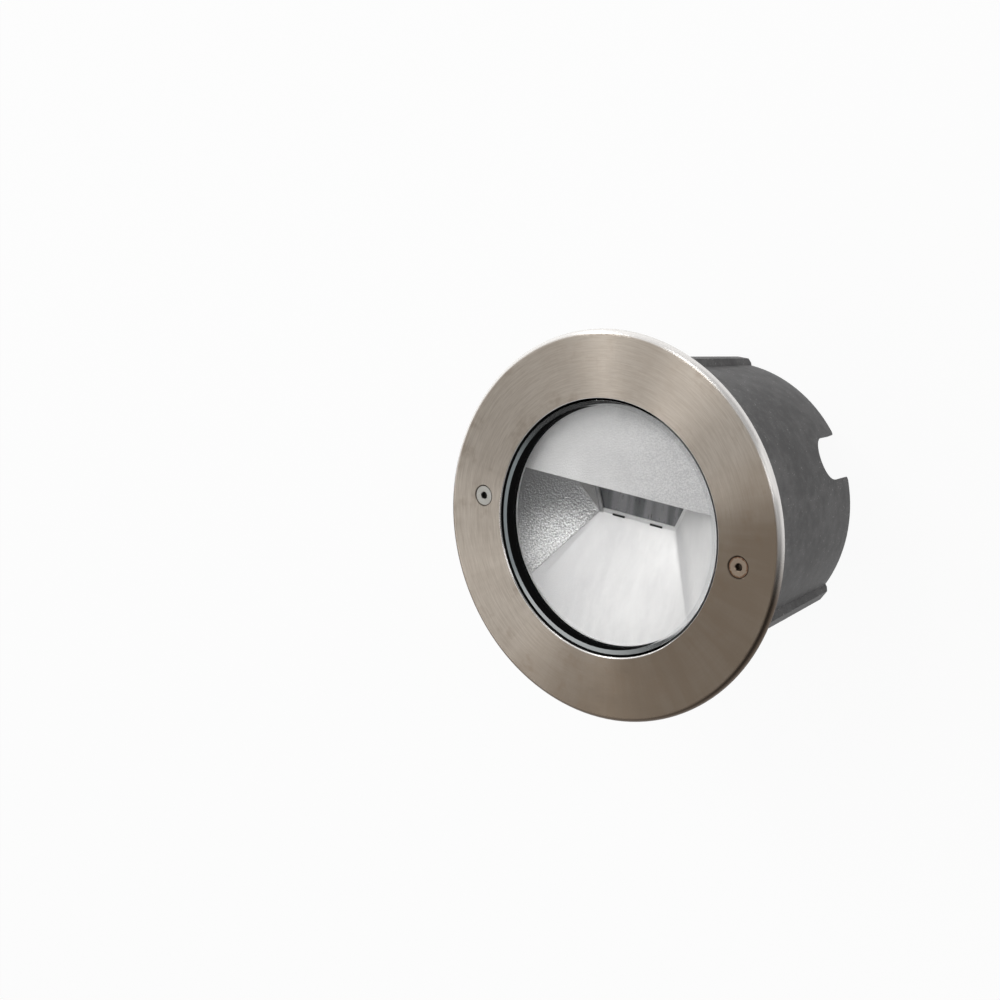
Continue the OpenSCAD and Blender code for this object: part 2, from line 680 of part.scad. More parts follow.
module driver() {
    body_l = driver_l - 2 * driver_ear_l - 2 * driver_ear_t;
    groove = driver_round / 4;
    color([0.9, 0.9, 0.88]) translate([0, driver_place_y, floor_z]) difference() {
        union() {
            rounded_box(body_l, driver_w, driver_h, driver_round);
            rounded_box(driver_l, driver_w / 2, driver_ear_t, driver_round);
        }
        both_sides() translate([driver_post_x, 0, -over])
            cylinder(r = small_screw_r + fixed_fit, h = driver_ear_t + 2 * over);
        translate([0, 0, driver_h - 2 * driver_ear_t]) difference() {
            translate([-driver_l, -driver_w, 0]) cube([2 * driver_l, 2 * driver_w, groove]);
            translate([0, 0, -over])
                rounded_box(body_l - 2 * groove, driver_w - 2 * groove, driver_ear_t + over, driver_round);
        }
    }
}

module driver_screws() {
    color([0.7, 0.7, 0.72]) translate([0, driver_place_y, floor_z + driver_ear_t]) both_sides()
        translate([driver_post_x, 0, 0])
            pan_screw(small_screw_r, driver_ear_t + canister_floor / 2 - fixed_fit);
}

terminal_poles = 3;
terminal_gap = 1;
terminal_place = [gland_af / sqrt(3) + terminal_gap + terminal_l / 2,
    driver_place_y - driver_w / 2 - terminal_gap - terminal_w / 2];
terminal_screw_r = 1.5;
terminal_screw_share = 0.6;
terminal_wire_share = 0.3;
terminal_pitch = terminal_l / terminal_poles;

module terminal_block() {
    color([0.88, 0.88, 0.86]) translate([terminal_place.x, terminal_place.y, floor_z]) difference() {
        translate([-terminal_l / 2, -terminal_w / 2, 0]) cube([terminal_l, terminal_w, terminal_h]);
        for (i = [0:terminal_poles - 1]) translate([(i - (terminal_poles - 1) / 2) * terminal_pitch, 0, 0]) {
            for (side = [-1, 1]) translate([0, side * terminal_w / 4, terminal_h * terminal_screw_share])
                cylinder(r = terminal_screw_r + fixed_fit, h = terminal_h);
            translate([0, -terminal_w / 2 - over, terminal_h * terminal_wire_share]) rotate([-90, 0, 0])
                cylinder(r = terminal_screw_r + fixed_fit, h = terminal_w + 2 * over);
        }
        for (i = [1:terminal_poles - 1]) translate([(i - terminal_poles / 2) * terminal_pitch, 0, terminal_h])
            cube([terminal_screw_r, terminal_w + 2 * over, terminal_screw_r * 2], center = true);
    }
}

module terminal_screws() {
    color([0.75, 0.65, 0.4]) for (i = [0:terminal_poles - 1], side = [-1, 1])
        translate([terminal_place.x + (i - (terminal_poles - 1) / 2) * terminal_pitch,
            terminal_place.y + side * terminal_w / 4, floor_z + terminal_h * terminal_screw_share])
        difference() {
            cylinder(r = terminal_screw_r, h = terminal_h * terminal_wire_share);
            translate([0, 0, terminal_h * terminal_wire_share])
                cube([terminal_screw_r * 3, terminal_screw_r / 2, terminal_screw_r], center = true);
        }
}

module earth_screw() {
    color([0.75, 0.7, 0.45]) translate([earth_place.x, earth_place.y, floor_z + earth_boss_h])
        pan_screw(earth_screw_r, earth_boss_h - seat_gap);
}

// Cable gland: the thread passes the floor, the dome nut squeezes the seal on the cable
gland_hex_t = 5;
gland_washer_t = 1;
gland_hex_z = base_z - gland_pad_t - gland_washer_t - gland_hex_t;
gland_spigot_l = 7;
gland_wall = 1.4;
gland_nut_wall = 1.6;
gland_spigot_r = gland_af / 2 - gland_nut_wall;
gland_bore_r = cable_d / 2 + gland_wall;
locknut_t = 4;

module on_gland(z) {
    translate([0, -gland_y, z]) children();
}

module cable_gland() {
    thread_l = gland_washer_t + gland_pad_t + canister_floor + locknut_t + gland_wall;
    color([0.1, 0.1, 0.1]) on_gland(gland_hex_z) difference() {
        union() {
            hexagon(gland_af, gland_hex_t);
            translate([0, 0, gland_hex_t - over]) cylinder(r = gland_r, h = thread_l + over);
            translate([0, 0, -gland_spigot_l]) cylinder(r = gland_spigot_r, h = gland_spigot_l + over);
        }
        translate([0, 0, -gland_spigot_l - over])
            cylinder(r = gland_bore_r, h = gland_spigot_l + gland_hex_t + thread_l + 2 * over);
    }
}

module gland_o_ring() {
    color([0.06, 0.06, 0.06]) on_gland(gland_hex_z + gland_hex_t)
        ring(gland_af / 2 - fixed_fit, gland_r + run_fit, gland_washer_t);
}

module gland_seal() {
    lip = gland_wall;
    color([0.06, 0.06, 0.06]) on_gland(gland_hex_z - gland_spigot_l - lip) rotate_extrude()
        polygon([[cable_d / 2, 0], [gland_spigot_r - fixed_fit, 0], [gland_spigot_r - fixed_fit, lip],
            [gland_bore_r - run_fit, lip], [gland_bore_r - run_fit, lip + gland_spigot_l],
            [cable_d / 2, lip + gland_spigot_l]]);
}

module gland_nut() {
    flat_r = gland_af / 2;
    corner_r = gland_af / sqrt(3);
    nose_r = gland_bore_r + gland_wall;
    hole_r = cable_d / 2 + gland_wall / 2;
    roof = 3;
    seal_foot = gland_nut_l - gland_spigot_l - gland_wall;
    color([0.1, 0.1, 0.1]) on_gland(gland_hex_z - gland_nut_l) difference() {
        intersection() {
            hexagon(gland_af, gland_nut_l - seat_gap);
            rotate_extrude() polygon([[0, 0], [nose_r, 0], [flat_r, corner_r - nose_r],
                [corner_r, corner_r - nose_r + over], [corner_r, gland_nut_l], [0, gland_nut_l]]);
        }
        translate([0, 0, -over]) cylinder(r = hole_r, h = gland_nut_l);
        translate([0, 0, seal_foot]) cylinder(r = gland_spigot_r + fixed_fit, h = gland_nut_l);
        translate([0, 0, roof]) cylinder(r1 = hole_r, r2 = gland_bore_r, h = seal_foot - roof + over);
    }
}

module gland_locknut() {
    color([0.1, 0.1, 0.1]) on_gland(floor_z) difference() {
        hexagon(gland_af, locknut_t);
        translate([0, 0, -over]) cylinder(r = gland_r + run_fit, h = locknut_t + 2 * over);
    }
}

// Breather valve: lets the canister's air pressure even out
module breather_valve() {
    cap_h = 4;
    vent_w = 1;
    cap_af = 2 * breather_r + 3 * vent_w;
    color([0.12, 0.12, 0.13]) translate([breather_place.x, breather_place.y, base_z - gland_pad_t])
        difference() {
            union() {
                cylinder(r = breather_r, h = gland_pad_t + canister_floor + over);
                translate([0, 0, -cap_h]) hexagon(cap_af, cap_h);
            }
            translate([0, 0, -cap_h - over]) cylinder(r = breather_r / 3, h = cap_h);
            translate([0, 0, -cap_h]) cube([2 * cap_af, vent_w, vent_w], center = true);
        }
}

// Trim ring: flat face, rounded outer edge, two countersunk holes
trim_edge = min(trim_edge_r, trim_t - fixed_fit);
trim_edge_steps = 10;

module trim_ring() {
    color([0.66, 0.62, 0.57]) difference() {
        rotate_extrude() polygon(concat(
            [[aperture_r, trim_under_z + rebate_deep], [rebate_r, trim_under_z + rebate_deep],
                [rebate_r, trim_under_z], [trim_r, trim_under_z]],
            [for (i = [0:trim_edge_steps]) [trim_r - trim_edge + trim_edge * cos(i * 90 / trim_edge_steps),
                face_z - trim_edge + trim_edge * sin(i * 90 / trim_edge_steps)]],
            [[aperture_r + aperture_break, face_z], [aperture_r, face_z - aperture_break]]));
        both_sides() translate([screw_x, 0, face_z])
            countersunk_hole(screw_d / 2 + bolt_fit, sink_r, trim_t);
    }
}

module trim_gasket() {
    color([0.05, 0.05, 0.05]) translate([0, 0, collar_top_z]) difference() {
        ring(collar_r - collar_break, clamp_in_r + seat_gap, trim_gasket_t);
        both_sides() translate([screw_x, 0, -over])
            cylinder(r = screw_d / 2 + bolt_fit, h = trim_gasket_t + 2 * over);
    }
}

// Captive washer round a bezel screw, just over the canister's flange
module bezel_washer() {
    translate([0, 0, flange_top_z + seat_gap]) ring(screw_d / 2 + washer_w, screw_d / 2 + run_fit, washer_t);
}

module bezel_screw() {
    translate([0, 0, face_z - screw_sink])
        countersunk_screw(screw_d / 2, head_d / 2, head_land, screw_l, socket_af, socket_deep);
}

module washer_left() {
    color([0.9, 0.9, 0.85]) translate([-screw_x, 0, 0]) bezel_washer();
}

module washer_right() {
    color([0.9, 0.9, 0.85]) translate([screw_x, 0, 0]) bezel_washer();
}

module bezel_screw_left() {
    color([0.75, 0.73, 0.68]) translate([-screw_x, 0, 0]) bezel_screw();
}

module bezel_screw_right() {
    color([0.68, 0.58, 0.48]) translate([screw_x, 0, 0]) bezel_screw();
}

installation_sleeve();
threaded_inserts();
canister();
lens_glass();
lens_gasket();
clamp_ring();
clamp_screws();
reflector_hood();
reflector_bowl();
chassis_plate();
chassis_screws();
lamp_bracket();
bracket_screws();
lamp_board();
lamp_chips();
driver();
driver_screws();
terminal_block();
terminal_screws();
earth_screw();
cable_gland();
gland_o_ring();
gland_seal();
gland_nut();
gland_locknut();
breather_valve();
trim_ring();
trim_gasket();
washer_left();
washer_right();
bezel_screw_left();
bezel_screw_right();
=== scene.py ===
import math

import bmesh
import bpy
from mathutils import Matrix, Vector


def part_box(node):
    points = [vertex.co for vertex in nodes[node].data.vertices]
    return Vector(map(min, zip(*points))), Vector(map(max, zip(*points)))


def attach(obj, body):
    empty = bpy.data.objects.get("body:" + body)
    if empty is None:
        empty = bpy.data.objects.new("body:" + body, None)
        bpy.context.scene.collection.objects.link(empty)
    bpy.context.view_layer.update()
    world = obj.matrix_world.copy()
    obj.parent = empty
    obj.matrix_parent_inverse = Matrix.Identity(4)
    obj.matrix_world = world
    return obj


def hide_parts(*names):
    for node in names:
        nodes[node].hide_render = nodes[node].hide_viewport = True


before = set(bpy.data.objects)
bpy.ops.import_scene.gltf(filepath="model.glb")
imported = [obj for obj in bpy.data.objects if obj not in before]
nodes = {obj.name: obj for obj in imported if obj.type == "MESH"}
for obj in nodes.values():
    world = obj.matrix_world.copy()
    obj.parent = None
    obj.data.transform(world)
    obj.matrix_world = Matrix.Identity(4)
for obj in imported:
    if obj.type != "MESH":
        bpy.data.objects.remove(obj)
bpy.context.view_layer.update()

# The CAD nodes are counted, before anything is added
print("scene: frame loaded,", len(nodes), "CAD nodes")


class Wire:
    # One output of a node. Its operators add Math nodes, so that a mask reads as a formula.
    def __init__(self, finish, socket):
        self.finish = finish
        self.socket = socket

    def math(self, operation, first, second):
        return self.finish.add("ShaderNodeMath", {"operation": operation}, {0: first, 1: second})

    def __add__(self, other):
        return self.math("ADD", self, other)

    def __radd__(self, other):
        return self.math("ADD", other, self)

    def __sub__(self, other):
        return self.math("SUBTRACT", self, other)

    def __rsub__(self, other):
        return self.math("SUBTRACT", other, self)

    def __mul__(self, other):
        return self.math("MULTIPLY", self, other)

    def __rmul__(self, other):
        return self.math("MULTIPLY", other, self)

    def __truediv__(self, other):
        return self.math("DIVIDE", self, other)


class Finish:
    # A material, or the sky, in the making
    def __init__(self, name, isSky=False):
        self.owner = (bpy.data.worlds if isSky else bpy.data.materials).new(name)
        self.owner.use_nodes = True
        self.tree = self.owner.node_tree
        self.tree.nodes.clear()
        self.end = self.tree.nodes.new("ShaderNodeOutputWorld" if isSky else "ShaderNodeOutputMaterial")

    def add(self, kind, settings=None, sockets=None, output=0):
        # Settings come first, because they decide which sockets there are
        node = self.tree.nodes.new(kind)
        for key, value in (settings or {}).items():
            setattr(node, key, value)
        for key, value in (sockets or {}).items():
            self.plug(self.find(node.inputs, key), value)
        return Wire(self, self.find(node.outputs, output))

    def find(self, sockets, key):
        if isinstance(key, int):
            return sockets[key]
        for socket in sockets:
            if key in (socket.identifier, socket.name) and socket.enabled:
                return socket
        raise KeyError("no socket called " + key)

    def plug(self, socket, value):
        if isinstance(value, Wire):
            self.tree.links.new(value.socket, socket)
        else:
            socket.default_value = value

    def place(self, centre=(0, 0, 0)):
        # Object coordinates in metres, counted from a centre
        coordinates = self.add("ShaderNodeTexCoord", output="Object")
        return self.add("ShaderNodeMapping", {"vector_type": "TEXTURE"},
                        {"Vector": coordinates, "Location": centre})

    def axes(self, place, wanted="XYZ"):
        return [self.add("ShaderNodeSeparateXYZ", None, {0: place}, output=axis) for axis in wanted]

    def stretch(self, place, shares):
        # Draws a pattern out along each axis whose share is small
        return self.add("ShaderNodeVectorMath", {"operation": "MULTIPLY"}, {0: place, 1: shares})

    def noise(self, place, size, detail=2.0, rough=0.5, distortion=0.0):
        # size is that of one lump, in metres
        return self.add("ShaderNodeTexNoise", None, {
            "Vector": place, "Scale": 1 / size, "Detail": detail, "Roughness": rough,
            "Distortion": distortion})

    def lumps(self, place, size, smooth=0.6):
        return self.add("ShaderNodeTexVoronoi", {"feature": "SMOOTH_F1"},
                        {"Vector": place, "Scale": 1 / size, "Smoothness": smooth})

    def step(self, value, low, high, start=0.0, end=1.0):
        # Smooth step from start to end as the value goes from low to high
        return self.add("ShaderNodeMapRange", {"interpolation_type": "SMOOTHSTEP"}, {
            "Value": value, "From Min": low, "From Max": high, "To Min": start, "To Max": end})

    def blend(self, factor, first, second):
        return self.add("ShaderNodeMix", {"data_type": "RGBA"}, {
            "Factor_Float": factor, "A_Color": first, "B_Color": second}, output="Result_Color")

    def reach(self, x, y):
        # Distance that two lengths at right angles make
        return self.add("ShaderNodeMath", {"operation": "SQRT"}, {0: x * x + y * y})

    def bump(self, height, distance, strength):
        return self.add("ShaderNodeBump", None, {
            "Height": height, "Distance": distance, "Strength": strength})

    def surface(self, sockets):
        return self.add("ShaderNodeBsdfPrincipled", None, sockets)

    def mixShader(self, factor, first, second):
        return self.add("ShaderNodeMixShader", None, {0: factor, 1: first, 2: second})

    def done(self, shader):
        self.tree.links.new(shader.socket, self.end.inputs["Surface"])
        return self.owner


def linear(red, green, blue):
    # A colour as a picture shows it, 0 to 255, made linear
    shares = [value / 255 for value in (red, green, blue)]
    return tuple(s / 12.92 if s <= 0.04045 else ((s + 0.055) / 1.055) ** 2.4 for s in shares) + (1.0,)


def swing(noise, amount):
    # A noise as a change up and down, and not only up
    return (noise - 0.5) * amount


def along(axes, direction):
    # How far a place lies in a direction
    reach = axes[0] * direction[0]
    for axis, share in zip(axes[1:], direction[1:]):
        reach = reach + axis * share
    return reach


def circles(finish, place, width, length):
    # Noise drawn out along circles round the Z axis, with no seam
    meanRadius = 0.077
    x, y, z = finish.axes(place)
    radius = finish.reach(x, y)
    turns = meanRadius / length
    drawn = finish.add("ShaderNodeCombineXYZ", None, {
        0: x / radius * turns, 1: y / radius * turns, 2: (radius + z) / width})
    return finish.noise(drawn, 1.0)


# In the finishes' values, lengths are in metres, a range is where a mask begins and where it is full,
# and a direction is one on the light's face, with X to the right and Y upwards.

def makeTrimSteel():
    # Stainless steel, brushed in circles
    steel = {
        "light": linear(205, 195, 183),
        "brown": linear(147, 132, 116),
        "stain": linear(140, 118, 98),
        "grime": linear(60, 50, 42),
        "edge": linear(253, 250, 247),
        "low": linear(96, 84, 74),
        "wall": linear(10, 10, 10),
        "fineStroke": {"width": 0.00028, "length": 0.006},
        "coarseStroke": {"width": 0.0008, "length": 0.014},
        "sectors": 13.0,
        "sectorStretch": 20.0,
        "cloudSize": 0.045,
        "patchSize": 0.012,
        "shadeTowards": (0.75, -0.66),
        "shadeRange": (-0.004, 0.06),
        "shadeWander": 0.03,
        "shadeShare": 0.95,
        "cloudMiddle": 0.45,
        "cloudShare": 0.4,
        "rayShare": 0.35,
        "stainRange": (0.56, 0.76),
        "stainShare": 0.32,
        "streakRange": (0.34, 0.66),
        "streakShare": 0.32,
        "screwX": 0.072,
        "gapRange": (0.0056, 0.0049),
        "grimeShare": 0.85,
        "highlitRange": (-0.014, 0.03),
        "edgeRadius": 0.0905,
        "edgeBlur": 0.0006,
        "openingRadius": 0.0612,
        "rimWidth": 0.0002,
        "highlightTowards": (-0.45, -0.9),
        "highlightRange": (0.012, 0.034),
        "highlightWidth": 0.0004,
        "wallStart": 0.00035,
        "wallFull": 0.0006,
        "roughness": 0.34,
        "patchRough": 0.1,
        "strokeRough": 0.12,
        "rayRough": 0.09,
        "grimeRough": 0.2,
        "edgeGloss": 0.08,
        "wallRough": 0.4,
        "highlightPaint": 0.55,
        "wallPaint": 0.45,
        "anisotropy": 0.93,
        "brushTurn": 0.25,
        "brushDepth": 0.00002,
        "brushStrength": 0.6,
    }
    f = Finish("trim_steel")
    place = f.place()
    x, y, z = f.axes(place)
    radius = f.reach(x, y)
    fine = circles(f, place, **steel["fineStroke"])
    coarse = circles(f, place, **steel["coarseStroke"])
    # Rays that the brushing leaves, as it isn't even all the way round
    sector = f.add("ShaderNodeCombineXYZ", None, {
        0: x / radius * steel["sectors"], 1: y / radius * steel["sectors"],
        2: radius * steel["sectorStretch"]})
    rays = f.noise(sector, 1.0, detail=3.0, rough=0.55)
    cloud = f.noise(place, steel["cloudSize"], detail=3.0, rough=0.6)
    patch = f.noise(place, steel["patchSize"], detail=3.0, rough=0.65)
    # The lower right side is painted browner and darker, as painted shade
    side = f.step(along((x, y), steel["shadeTowards"]) + swing(cloud, steel["shadeWander"]),
                  *steel["shadeRange"])
    tintAndShade = (side * steel["shadeShare"] + (cloud - steel["cloudMiddle"]) * steel["cloudShare"]
            + swing(rays, steel["rayShare"]))
    base = f.blend(tintAndShade, steel["light"], steel["brown"])
    stained = f.blend(f.step(patch, *steel["stainRange"], end=steel["stainShare"]), base, steel["stain"])
    strokes = coarse * 0.5 + fine * 0.5
    streaks = f.step(strokes, *steel["streakRange"], end=steel["streakShare"])
    streaked = f.blend(streaks, stained, steel["brown"])
    # Grime sits in the gap round each screw's head
    aside = f.add("ShaderNodeMath", {"operation": "ABSOLUTE"}, {0: x}) - steel["screwX"]
    grime = f.step(f.reach(aside, y), *steel["gapRange"], end=steel["grimeShare"])
    dirty = f.blend(grime, streaked, steel["grime"])
    # The rounded outer edge carries a painted highlight above and painted shade below
    highlitUpper = f.step(y, *steel["highlitRange"])
    brim = f.step(radius, steel["edgeRadius"] - steel["edgeBlur"], steel["edgeRadius"] + steel["edgeBlur"])
    rounded = f.blend(brim, dirty, f.blend(highlitUpper, steel["low"], steel["edge"]))
    # The opening's rim carries a painted highlight, wider at the lower left
    paling = f.step(along((x, y), steel["highlightTowards"]), *steel["highlightRange"], end=steel["highlightWidth"])
    rim = f.step(radius - paling, steel["openingRadius"] + steel["rimWidth"], steel["openingRadius"])
    edge = brim + rim
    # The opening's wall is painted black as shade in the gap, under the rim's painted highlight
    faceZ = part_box("trim_ring")[1].z
    wall = rim * f.step(z, faceZ - steel["wallStart"], faceZ - steel["wallFull"])
    colour = f.blend(wall, f.blend(rim, rounded, steel["edge"]), steel["wall"])
    uneven = (swing(patch, steel["patchRough"]) + swing(coarse, steel["strokeRough"])
              + swing(rays, steel["rayRough"]))
    roughness = (steel["roughness"] + uneven * (1 - edge) + grime * steel["grimeRough"]
                 - edge * steel["edgeGloss"] + wall * steel["wallRough"])
    height = (fine * 0.6 + coarse * 0.5) * (1 - edge)
    return f.done(f.surface({
        "Base Color": colour, "Roughness": roughness,
        "Metallic": 1.0 - edge * highlitUpper * steel["highlightPaint"] - wall * steel["wallPaint"],
        "Anisotropic": steel["anisotropy"], "Anisotropic Rotation": steel["brushTurn"],
        "Normal": f.bump(height, steel["brushDepth"], steel["brushStrength"])}))


bezelScrews = {
    "left": {"name": "left_screw_steel", "node": "bezel_screw_left",
             "colour": linear(186, 184, 178), "stain": linear(116, 106, 94), "moreDirt": -0.08},
    "right": {"name": "right_screw_steel", "node": "bezel_screw_right",
              "colour": linear(176, 158, 140), "stain": linear(118, 84, 60), "moreDirt": 0.14},
}


def makeScrewSteel(name, node, colour, stain, moreDirt):
    # Turned steel, with dirt at the head's rim and painted shade in its socket
    screw = {
        "socket": linear(34, 28, 24),
        "ringScale": 900.0,
        "ringDistortion": 1.5,
        "patchSize": 0.0012,
        "grainSize": 0.0002,
        "rimRange": (0.0030, 0.0046),
        "patchShare": 0.7,
        "rimShare": 0.45,
        "dirtRange": (0.72, 1.0),
        "socketRange": (0.0019, 0.0016),
        "socketDepths": (-0.00005, -0.0003),
        "socketShadeShare": 0.8,
        "dirtPaint": 0.35,
        "roughness": 0.3,
        "dirtRough": 0.3,
        "grainRough": 0.15,
        "depth": 0.00003,
        "strength": 0.8,
    }
    low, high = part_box(node)
    f = Finish(name)
    place = f.place(((low.x + high.x) / 2, 0, high.z))
    x, y, z = f.axes(place)
    radius = f.reach(x, y)
    rings = f.add("ShaderNodeTexWave", {"wave_type": "RINGS", "rings_direction": "Z"}, {
        "Vector": place, "Scale": screw["ringScale"], "Distortion": screw["ringDistortion"]})
    patch = f.noise(place, screw["patchSize"], detail=3.0, rough=0.65)
    grain = f.noise(place, screw["grainSize"])
    rim = f.step(radius, *screw["rimRange"])
    dirt = f.step(patch * screw["patchShare"] + rim * screw["rimShare"] + moreDirt, *screw["dirtRange"])
    # Painted shade darkens the socket below the head's face
    socket = f.step(radius, *screw["socketRange"]) * f.step(z, *screw["socketDepths"])
    base = f.blend(socket * screw["socketShadeShare"], f.blend(dirt, colour, stain), screw["socket"])
    return f.done(f.surface({
        "Base Color": base, "Metallic": 1.0 - dirt * screw["dirtPaint"],
        "Roughness": screw["roughness"] + dirt * screw["dirtRough"] + swing(grain, screw["grainRough"]),
        "Normal": f.bump(rings * 0.3 + grain * 0.4, screw["depth"], screw["strength"])}))


def makeSmallSteel():
    # The small stainless screws inside
    steel = {
        "colour": linear(176, 175, 172),
        "shade": linear(140, 138, 134),
        "grainSize": 0.00025,
        "cloudSize": 0.004,
        "roughness": 0.28,
        "grainRough": 0.2,
        "depth": 0.00002,
        "strength": 0.7,
    }
    f = Finish("stainless_small")
    place = f.place()
    grain = f.noise(place, steel["grainSize"], detail=3.0)
    cloud = f.noise(place, steel["cloudSize"])
    return f.done(f.surface({
        "Base Color": f.blend(cloud, steel["colour"], steel["shade"]), "Metallic": 1.0,
        "Roughness": steel["roughness"] + grain * steel["grainRough"],
        "Normal": f.bump(grain, steel["depth"], steel["strength"])}))


def makeSleevePlastic():
    # Dark grey plastic, scuffed and dusty
    plastic = {
        "dark": linear(66, 65, 65),
        "paleTone": linear(106, 105, 105),
        "dust": linear(172, 170, 168),
        "grainSize": 0.00035,
        "lumpSize": 0.006,
        "cloudSize": 0.03,
        "scuffSize": 0.0011,
        "scuffStretch": (1.0, 1.0, 0.16),
        "scuffRange": (0.62, 0.75),
        "scuffedRange": (0.45, 0.62),
        "scuffShare": 0.7,
        "speckSize": 0.0011,
        "speckRange": (0.64, 0.72),
        "speckledRange": (0.42, 0.62),
        "speckShare": 0.75,
        "bandZ": 0.0165,
        "bandBlur": 0.002,
        "bandLumps": (0.3, 0.6),
        "bandShares": (0.1, 0.45),
        "wornRange": (0.36, 0.64),
        "grainShare": 0.35,
        "roughness": 0.58,
        "lumpRough": 0.2,
        "scuffRough": 0.1,
        "specular": 0.45,
        "depth": 0.00006,
        "strength": 0.7,
    }
    f = Finish("sleeve_plastic")
    place = f.place()
    [z] = f.axes(place, "Z")
    grain = f.noise(place, plastic["grainSize"], detail=3.0, rough=0.6)
    lumps = f.noise(place, plastic["lumpSize"], detail=4.0, rough=0.6)
    cloud = f.noise(place, plastic["cloudSize"], detail=3.0, rough=0.6)
    # Scuffs run mostly along the draft, as the sleeve slid into its box
    scuff = f.noise(f.stretch(place, plastic["scuffStretch"]), plastic["scuffSize"], detail=4.0,
                    rough=0.7, distortion=0.4)
    scratch = f.step(scuff, *plastic["scuffRange"]) * f.step(cloud, *plastic["scuffedRange"])
    speck = (f.step(f.noise(place, plastic["speckSize"]), *plastic["speckRange"])
             * f.step(lumps, *plastic["speckledRange"]))
    # The rear band is a little paler, in patches
    paling = (f.step(z, plastic["bandZ"], plastic["bandZ"] - plastic["bandBlur"])
              * f.step(lumps, *plastic["bandLumps"], *plastic["bandShares"]))
    paleTone = f.step(cloud * 0.35 + lumps * 0.45 + grain * 0.2, *plastic["wornRange"])
    handled = f.blend(paleTone, plastic["dark"], plastic["paleTone"])
    paled = f.blend(paling + swing(grain, plastic["grainShare"]), handled, plastic["paleTone"])
    scuffed = f.blend(scratch * plastic["scuffShare"], paled, plastic["dust"])
    dusty = f.blend(speck * plastic["speckShare"], scuffed, plastic["dust"])
    roughness = (plastic["roughness"] + swing(lumps, plastic["lumpRough"])
                 + scratch * plastic["scuffRough"])
    height = grain * 0.7 + lumps * 1.2 - scratch * 0.4
    return f.done(f.surface({
        "Base Color": dusty, "Roughness": roughness, "Specular IOR Level": plastic["specular"],
        "Normal": f.bump(height, plastic["depth"], plastic["strength"])}))


def makeCastBody():
    # Painted casting with a pebbled skin
    cast = {
        "colour": linear(44, 45, 47),
        "shade": linear(60, 61, 62),
        "pebbleSize": 0.0006,
        "cloudSize": 0.012,
        "cloudRange": (0.35, 0.7),
        "metallic": 0.15,
        "roughness": 0.5,
        "cloudRough": 0.2,
        "depth": 0.00012,
        "strength": 0.6,
    }
    f = Finish("cast_body")
    place = f.place()
    pebble = f.lumps(place, cast["pebbleSize"])
    cloud = f.noise(place, cast["cloudSize"], detail=4.0, rough=0.6)
    base = f.blend(f.step(cloud, *cast["cloudRange"]), cast["colour"], cast["shade"])
    return f.done(f.surface({
        "Base Color": base, "Metallic": cast["metallic"],
        "Roughness": cast["roughness"] + swing(cloud, cast["cloudRough"]),
        "Normal": f.bump(pebble * 0.8 + cloud * 0.5, cast["depth"], cast["strength"])}))


border = {"litTowards": (0.98, 0.17), "litRange": (0.025, 0.035)}


def litPaleSide(finish, place):
    # The black border of the hood, the seal and the glass is painted pale on its right side, as a painted
    # highlight
    return finish.step(along(finish.axes(place, "XY"), border["litTowards"]), *border["litRange"])


def makeHoodMetal():
    # Bright anodised aluminium with a fine hammered skin, stronger on the right, and painted shade that
    # greys it towards the right
    hood = {
        "colour": linear(250, 250, 250),
        "shade": linear(218, 218, 219),
        "lip": linear(9, 9, 10),
        "paleTone": linear(226, 227, 228),
        "pebbleSize": 0.0009,
        "crumbSize": 0.000405,
        "cloudSize": 0.02,
        "glintSize": 0.0007,
        "glintRange": (0.38, 0.62),
        "hammerRange": (-0.03, 0.04),
        "hammerLeast": 0.6,
        "cloudRange": (0.4, 0.7),
        "cloudShare": 0.25,
        "crumbShare": 0.5,
        "hammerShade": 1.9,
        "glintShade": 1.2,
        "lipRadius": 0.0573,
        "lipBlur": 0.0001,
        "metallic": 0.35,
        "roughness": 0.5,
        "crumbRough": 0.1,
        "lipRough": 0.3,
        "specular": 0.2,
        "depth": 0.0003,
        "strength": 0.75,
    }
    f = Finish("hood_metal")
    place = f.place()
    x, y = f.axes(place, "XY")
    pebble = f.lumps(place, hood["pebbleSize"], smooth=0.55)
    crumb = f.noise(place, hood["crumbSize"])
    cloud = f.noise(place, hood["cloudSize"], detail=3.0)
    hammerAndShade = f.step(x, *hood["hammerRange"], start=hood["hammerLeast"])
    glintSpeck = f.step(f.noise(place, hood["glintSize"], detail=1.0), *hood["glintRange"])
    # Besides random clouds, the shade colour carries painted shade towards the right and a painted speckle
    # of glints and shade
    shade = (f.step(cloud, *hood["cloudRange"], end=hood["cloudShare"]) + swing(crumb, hood["crumbShare"])
             + (hammerAndShade - hood["hammerLeast"]) * hood["hammerShade"]
             + (glintSpeck - 0.5) * (hammerAndShade - 0.5) * hood["glintShade"])
    base = f.blend(shade, hood["colour"], hood["shade"])
    # Black sealant covers the plate's border, beside the seal, and is painted pale on its right as a
    # painted highlight
    lip = f.step(f.reach(x, y), hood["lipRadius"] - hood["lipBlur"], hood["lipRadius"] + hood["lipBlur"])
    sealantAndHighlight = f.blend(litPaleSide(f, place), hood["lip"], hood["paleTone"])
    height = (pebble * 0.8 + crumb * 0.4) * hammerAndShade * (1 - lip)
    return f.done(f.surface({
        "Base Color": f.blend(lip, base, sealantAndHighlight),
        "Metallic": hood["metallic"] - lip * hood["metallic"],
        "Roughness": hood["roughness"] + swing(crumb, hood["crumbRough"]) + lip * hood["lipRough"],
        "Specular IOR Level": hood["specular"],
        "Normal": f.bump(height, hood["depth"], hood["strength"])}))


